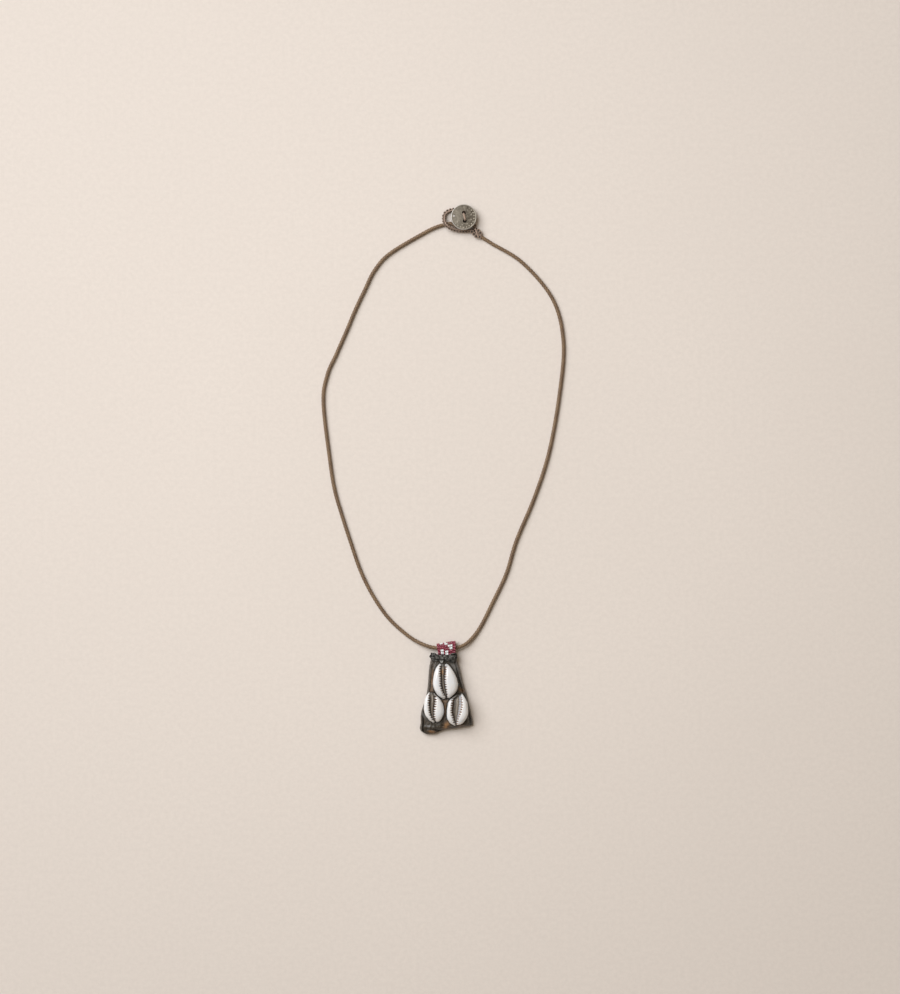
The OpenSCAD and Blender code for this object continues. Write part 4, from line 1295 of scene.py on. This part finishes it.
def winding_line(turns, low, climb, over, radius, seed):
    """The line of one winding round the packet's neck, wavering as it climbs."""
    middle, height = BINDING_MIDDLE
    half, rise = BINDING_HALF
    line = []
    for i in range(turns * WINDING_STEPS + 1):
        t = i / WINDING_STEPS
        c, s = math.cos(math.tau * t), math.sin(math.tau * t)
        out = 0.42 + over + 0.12 * math.sin(2.3 * t + 1) + 0.3 * wobble(t * 2.1, seed, 0)
        x = middle + (half + (0.3 * out if c > 0 else out)) * signed(c, 0.4)
        y = low + climb * t + 0.75 * abs(c) ** 2.4 + 1.2 * wobble(t * 1.9, 0, seed + 1)
        z = max(radius + 0.06, height + (rise + out) * signed(s, 0.4))
        line.append(Vector((x, y, z)) * MM)
    return line


class AMULET_OT_lashing(bpy.types.Operator):
    """Wind the dark binding round the neck of the packet"""
    bl_idname = "amulet.lashing"
    bl_label = "Neck binding"

    def execute(self, context):
        rng = random.Random(3)
        parts = [strand("binding_turns", winding_line(*row), row[4] * MM) for row in BINDING_WINDINGS]
        for radius, points in BINDING_STRANDS:
            drawn = STRAND_DRAWN * radius * rng.uniform(0.95, 1.05) * MM
            parts.append(strand("binding_cross", even_line(in_metres(points), 0.25 * MM), drawn))
        for part in parts:
            knead(part, 0.06 * MM, 1100)
        binding = merge("neck_binding", parts)
        x, y, reach = (v * MM for v in CURL_HIGHLIGHT)
        # top marks the faces that look up, for the painted highlight along the strands; pale marks the
        # painted highlight on the curl
        set_values(binding, ["top", "pale"], [
            (max(0.0, v.normal.z), math.exp(-(math.hypot(v.co.x - x, v.co.y - y) / reach) ** 4))
            for v in binding.data.vertices])
        dress(binding, binding_finish(), "binding", "lashing")
        return {"FINISHED"}


def shank_legs(start, end):
    """The two legs of the loop, drawn together as they run into the cord."""
    d = (end - start).normalized()
    legs = []
    for side in (level_side(d), -level_side(d)):
        leg = [start + side * 0.85 * MM, start.lerp(end, 0.5) + side * 0.62 * MM,
               end + (side * 0.25 - d * 0.3) * MM]
        legs.append(strand("leg", even_line([tuple(p) for p in leg], 0.4 * MM), 0.8 * MM))
    return legs


def loop_stitches(line):
    """Places along the loop: its wraps, the purls on its outer edge and the ridge on its top."""
    wraps, purls, ridge = [], [], []
    tip = Matrix.Rotation(math.radians(-24), 4, "X") @ Matrix.Rotation(math.radians(13), 4, "Y")
    for i, p in enumerate(line):
        way = heading(line, i)
        outer = outwards(line, i)
        lean = Matrix.Rotation(0.35 if i % 2 else -0.2, 4, "Y")
        wraps.append(Matrix.Translation(p) @ axes(outer, way.cross(outer), way) @ lean)
        if i % 2:
            spot = Matrix.Translation(p + outer * 0.52 * MM + UP * 0.72 * MM)
            purls.append(spot @ axes(way, outer, UP) @ tip @ Matrix.Diagonal((1.04, 1.0, 1.0, 1)))
        ridge.append(tuple(p - outer * 0.22 * MM + UP * 1.02 * MM))
    return wraps, purls, ridge


class AMULET_OT_button_loop(bpy.types.Operator):
    """Work the stitched loop and the whipped shank where it leaves the cord"""
    bl_idname = "amulet.button_loop"
    bl_label = "Stitched loop"

    def execute(self, context):
        settings = context.scene.amulet_clasp
        thread = settings.thread / 2
        fine = 0.25 * MM
        stitches = stitch_finish("loop_stitches", settings.colour, [v * 0.45 for v in settings.colour])
        pale = stitch_finish("loop_ridge", (0.45, 0.325, 0.262), settings.colour)
        # Near-black for the core, the shank's legs and the hearts: painted shade between the wraps and in the
        # purls' holes
        dark = stitch_finish("loop_core", [v * 0.1 for v in settings.colour],
                             [v * 0.03 for v in settings.colour], dusty=0.02, fuzz=0.0)
        route = in_metres(LOOP_ROUTE)
        start, end = (Vector(p) for p in in_metres(SHANK_ENDS))
        s, u = across([start, end], 0)
        d = heading([start, end], 0)
        wraps, purls, ridge = loop_stitches(even_line(route, settings.pitch / 2))
        for place in SHANK_PURLS:
            spot = Matrix.Translation(Vector((*place, SHANK_PURL_HEIGHT)) * MM)
            purls.append(spot @ axes(d, s, UP) @ Matrix.Diagonal((1.35, 1.3, 1.3, 1)))
        for i in range(SHANK_WRAPS):
            t = 0.04 + 0.92 * i / (SHANK_WRAPS - 1)
            lean = Matrix.Rotation(0.3, 4, "X") @ Matrix.Diagonal(((1.66 - 0.62 * t) / 0.72, 1.15, 1.0, 1))
            wraps.append(Matrix.Translation(start.lerp(end, t)) @ axes(s, u, d) @ lean)

        core = [strand("loop_core", even_line(route, 0.4 * MM), LOOP_CORE_RADIUS * MM)]
        core += shank_legs(start, end)
        # The hearts are dark discs sunk in the purls, put there as painted shade in their holes
        heart = ball("heart", 12, 8, 0.5 * MM)
        heart.data.transform(Matrix.Diagonal((1, 1, 0.45, 1)))
        sunk = Matrix.Translation((0, 0, -0.1 * MM))
        core.append(merge("hearts", copies(heart, [purl @ sunk for purl in purls])))
        dress(merge("loop_core", core), dark, "loop_thread", "button_loop", "loop_shank")

        wrapped = merge("stitches", copies(torus("wrap", 18, 8, 0.76 * MM, thread * 0.62), wraps))
        purled = merge("purls", copies(torus("purl", 16, 8, 0.62 * MM, thread * 0.54), purls))
        loop = merge("stitched_loop", [wrapped, purled])
        only(loop)
        bpy.ops.object.shade_smooth()
        dress(loop, stitches, "loop_thread", "button_loop", "loop_shank")

        chain = twisted("ridge", even_line(ridge, fine), 0.29 * MM, 2, 1.8 * MM)
        rib = twisted("rib", even_line(in_metres(SHANK_RIB), fine), 0.4 * MM, 2, 2 * MM)
        dress(merge("loop_ridge", [chain, rib]), pale, "loop_thread", "button_loop", "loop_shank")
        return {"FINISHED"}


def from_ring(x, y, ring):
    """Where a place lies from the nearest spot of a ring of relief, and the turn of that spot."""
    count, out = ring
    spot = (math.floor(math.degrees(math.atan2(y, x)) / 360 * count) + 0.5) * math.tau / count
    return x - out * math.cos(spot), y - out * math.sin(spot), spot


def coin_relief(x, y):
    """Height of the coin's worn relief: a ring of pellets round a wreath, almost gone at the upper left."""
    keep = (0.12 + 0.88 * step_up(-3.5, 3.0, (x - y) * 0.7)) * (0.8 + 0.5 * wobble(x * 0.5, y * 0.5, 1.0))
    dx, dy, _ = from_ring(x, y, PELLETS)
    pellet = max(0.0, 1 - (math.hypot(dx, dy) / 0.46) ** 2) ** 0.6
    dx, dy, spot = from_ring(x, y, LEAVES)
    c, s = math.cos(spot + 0.7), math.sin(spot + 0.7)
    u, v = dx * c + dy * s, -dx * s + dy * c
    leaf = step_up(1.0, 0.7, max(math.hypot(u, v - 0.75), math.hypot(u, v + 0.75)) / 1.15)
    worn = 0.03 * wobble(x * 0.7, y * 0.7, 5.0) + 0.006 * wobble(x * 3, y * 3, 2.0)
    return 0.2 * max(pellet, leaf) * keep + worn + 0.12 * bell(math.hypot(x, y), COIN_RADIUS - 0.38, 0.22)


def coin_form(lies):
    """The coin: its struck face, its edge and its plain back, then its holes drilled through."""
    def place(t, f):
        turn = math.tau * f
        c, s = math.cos(turn), math.sin(turn)
        if t < 0.7:
            radius = 0.97 * COIN_RADIUS * t / 0.7
            z = COIN_HALF + coin_relief(radius * c, radius * s)
        elif t < 0.8:
            w = (t - 0.7) / 0.1
            radius = COIN_RADIUS * (0.97 + 0.03 * math.sin(math.pi * w) ** 0.5)
            z = (COIN_HALF + 0.08 * (1 - w)) * math.cos(math.pi * w)
        else:
            radius, z = 0.97 * COIN_RADIUS * (1 - t) / 0.2, -COIN_HALF
        return lies @ (Vector((radius * c, radius * s, z)) * MM)

    coin = round_form("silver_coin", 240, 80, place)
    for x, y, wide in COIN_HOLES:
        only()
        bpy.ops.mesh.primitive_cylinder_add(vertices=48, radius=wide / 2 * MM, depth=4 * MM)
        drill = bpy.context.active_object
        drill.data.transform(lies @ Matrix.Translation(Vector((x, y, 0)) * MM))
        only(coin)
        hole = coin.modifiers.new("hole", "BOOLEAN")
        hole.operation, hole.solver, hole.object = "DIFFERENCE", "EXACT", drill
        bpy.ops.object.modifier_apply(modifier="hole")
        bpy.data.objects.remove(drill)
    face_outwards(coin, 0.004 * MM)
    bpy.ops.object.shade_smooth_by_angle(angle=math.radians(32))
    return coin


class AMULET_OT_coin_button(bpy.types.Operator):
    """Strike the worn silver coin, pierce it, and sew it on with its pale thread"""
    bl_idname = "amulet.coin_button"
    bl_label = "Coin button"

    def execute(self, context):
        settings = context.scene.amulet_clasp
        lean = Matrix.Rotation(math.radians(COIN_LEAN), 4, COIN_AXIS)
        lies = Matrix.Translation(COIN_MIDDLE * MM) @ lean
        dress(coin_form(lies), silver_finish(settings), "old_silver", "coin_button")
        seam = lies @ Matrix.Translation(SEAM_MIDDLE * MM) @ Matrix.Rotation(math.radians(SEAM_TURN), 4, "Z")
        line, stay = [], []
        for i in range(SEAM_STEPS + 1):
            a = math.tau * i / SEAM_STEPS
            y, z = SEAM_HALF * signed(math.cos(a), 0.5), SEAM_RISE * signed(math.sin(a), 0.5)
            line.append(seam @ (Vector((0, y, z)) * MM))
        for i in range(STAY_TURNS * STAY_STEPS + 1):
            a = math.tau * i / STAY_STEPS
            out = 0.72 + 0.28 * (i % STAY_STEPS) / STAY_STEPS + 0.1 * math.sin(a * 1.7)
            depth = -1.35 - 0.22 * (i / STAY_STEPS % 2)
            stay.append(seam @ (Vector((1.15 * out * math.sin(a), 2.6 * out * math.cos(a), depth)) * MM))
        wound = twisted("thread_stay", stay, 0.42 * MM, 2, 2.6 * MM)
        # The stay wears the near-black of the loop's core, as painted shade seen through the coin's holes
        dress(wound, bpy.data.materials["loop_core"], "sewing_thread")
        thread = twisted("sewing_thread", line, 0.55 * MM, 3, 3.4 * MM)
        pale = stitch_finish("pale_thread", (0.46, 0.335, 0.265), (0.24, 0.165, 0.12))
        dress(thread, pale, "sewing_thread", "button_thread")
        return {"FINISHED"}


def area_light(name, power, place, aim, shape, size, colour):
    """An area light at a place in metres that looks at another."""
    only()
    bpy.ops.object.light_add(type="AREA", location=place)
    light = bpy.context.active_object
    light.name = name
    light.data.shape = shape
    light.data.size, light.data.size_y = size
    light.data.energy = power
    light.data.color = colour
    light.rotation_euler = (Vector(aim) - light.location).to_track_quat("-Z", "Y").to_euler()


class AMULET_OT_studio(bpy.types.Operator):
    """Lay out the pale table and the soft light"""
    bl_idname = "amulet.studio"
    bl_label = "Table and light"

    def execute(self, context):
        settings = context.scene.amulet_studio
        only()
        bpy.ops.mesh.primitive_plane_add(size=TABLE_SIZE, location=(0, 0, 0))
        table = name_piece(context.active_object, "table")
        table.data.materials.append(table_finish(settings))
        area_light("key_light", settings.key, *KEY_LIGHT)
        area_light("window_glint", GLINT_POWER, *GLINT)
        world = bpy.data.worlds.new("soft_room")
        context.scene.world = world
        world.use_nodes = True
        back = world.node_tree.nodes["Background"]
        back.inputs["Color"].default_value = (1.0, 0.83, 0.62, 1)
        back.inputs["Strength"].default_value = settings.fill
        context.scene.view_settings.view_transform = "Standard"
        return {"FINISHED"}


STEPS = (AMULET_OT_camera, AMULET_OT_neck_cord, AMULET_OT_packet, AMULET_OT_cowries, AMULET_OT_bead_bail,
         AMULET_OT_lashing, AMULET_OT_button_loop, AMULET_OT_coin_button, AMULET_OT_studio)


class AMULET_PT_pieces(bpy.types.Panel):
    """The steps that build the amulet, and its sizes and colours"""
    bl_idname = "AMULET_PT_pieces"
    bl_label = "Cowrie amulet"
    bl_space_type = "VIEW_3D"
    bl_region_type = "UI"
    bl_category = "Amulet"

    def draw(self, context):
        for step in STEPS:
            self.layout.operator(step.bl_idname)
        for settings in SETTINGS:
            box = self.layout.box()
            held = getattr(context.scene, settings)
            for key in held.__annotations__:
                box.prop(held, key)


SETTINGS = {
    "amulet_cord": AmuletCordSettings,
    "amulet_packet": AmuletPacketSettings,
    "amulet_shells": AmuletShellSettings,
    "amulet_beads": AmuletBeadSettings,
    "amulet_clasp": AmuletClaspSettings,
    "amulet_studio": AmuletStudioSettings,
}


def register():
    for kind in (*SETTINGS.values(), *STEPS, AMULET_PT_pieces):
        bpy.utils.register_class(kind)
    for name, kind in SETTINGS.items():
        setattr(bpy.types.Scene, name, PointerProperty(type=kind))


def unregister():
    for name in SETTINGS:
        delattr(bpy.types.Scene, name)
    for kind in reversed((*SETTINGS.values(), *STEPS, AMULET_PT_pieces)):
        bpy.utils.unregister_class(kind)


def declare_cord():
    """Works out the neck cord's length along its route, and does nothing further with it."""
    route = [tuple(p) for p in even_line(in_metres(CORD_ROUTE), MM)]
    length = sum((Vector(b) - Vector(a)).length for a, b in zip(route, route[1:]))


def main():
    register()
    for step in STEPS:
        area, name = step.bl_idname.split(".")
        getattr(getattr(bpy.ops, area), name)()
    declare_cord()


if __name__ == "__main__":
    main()
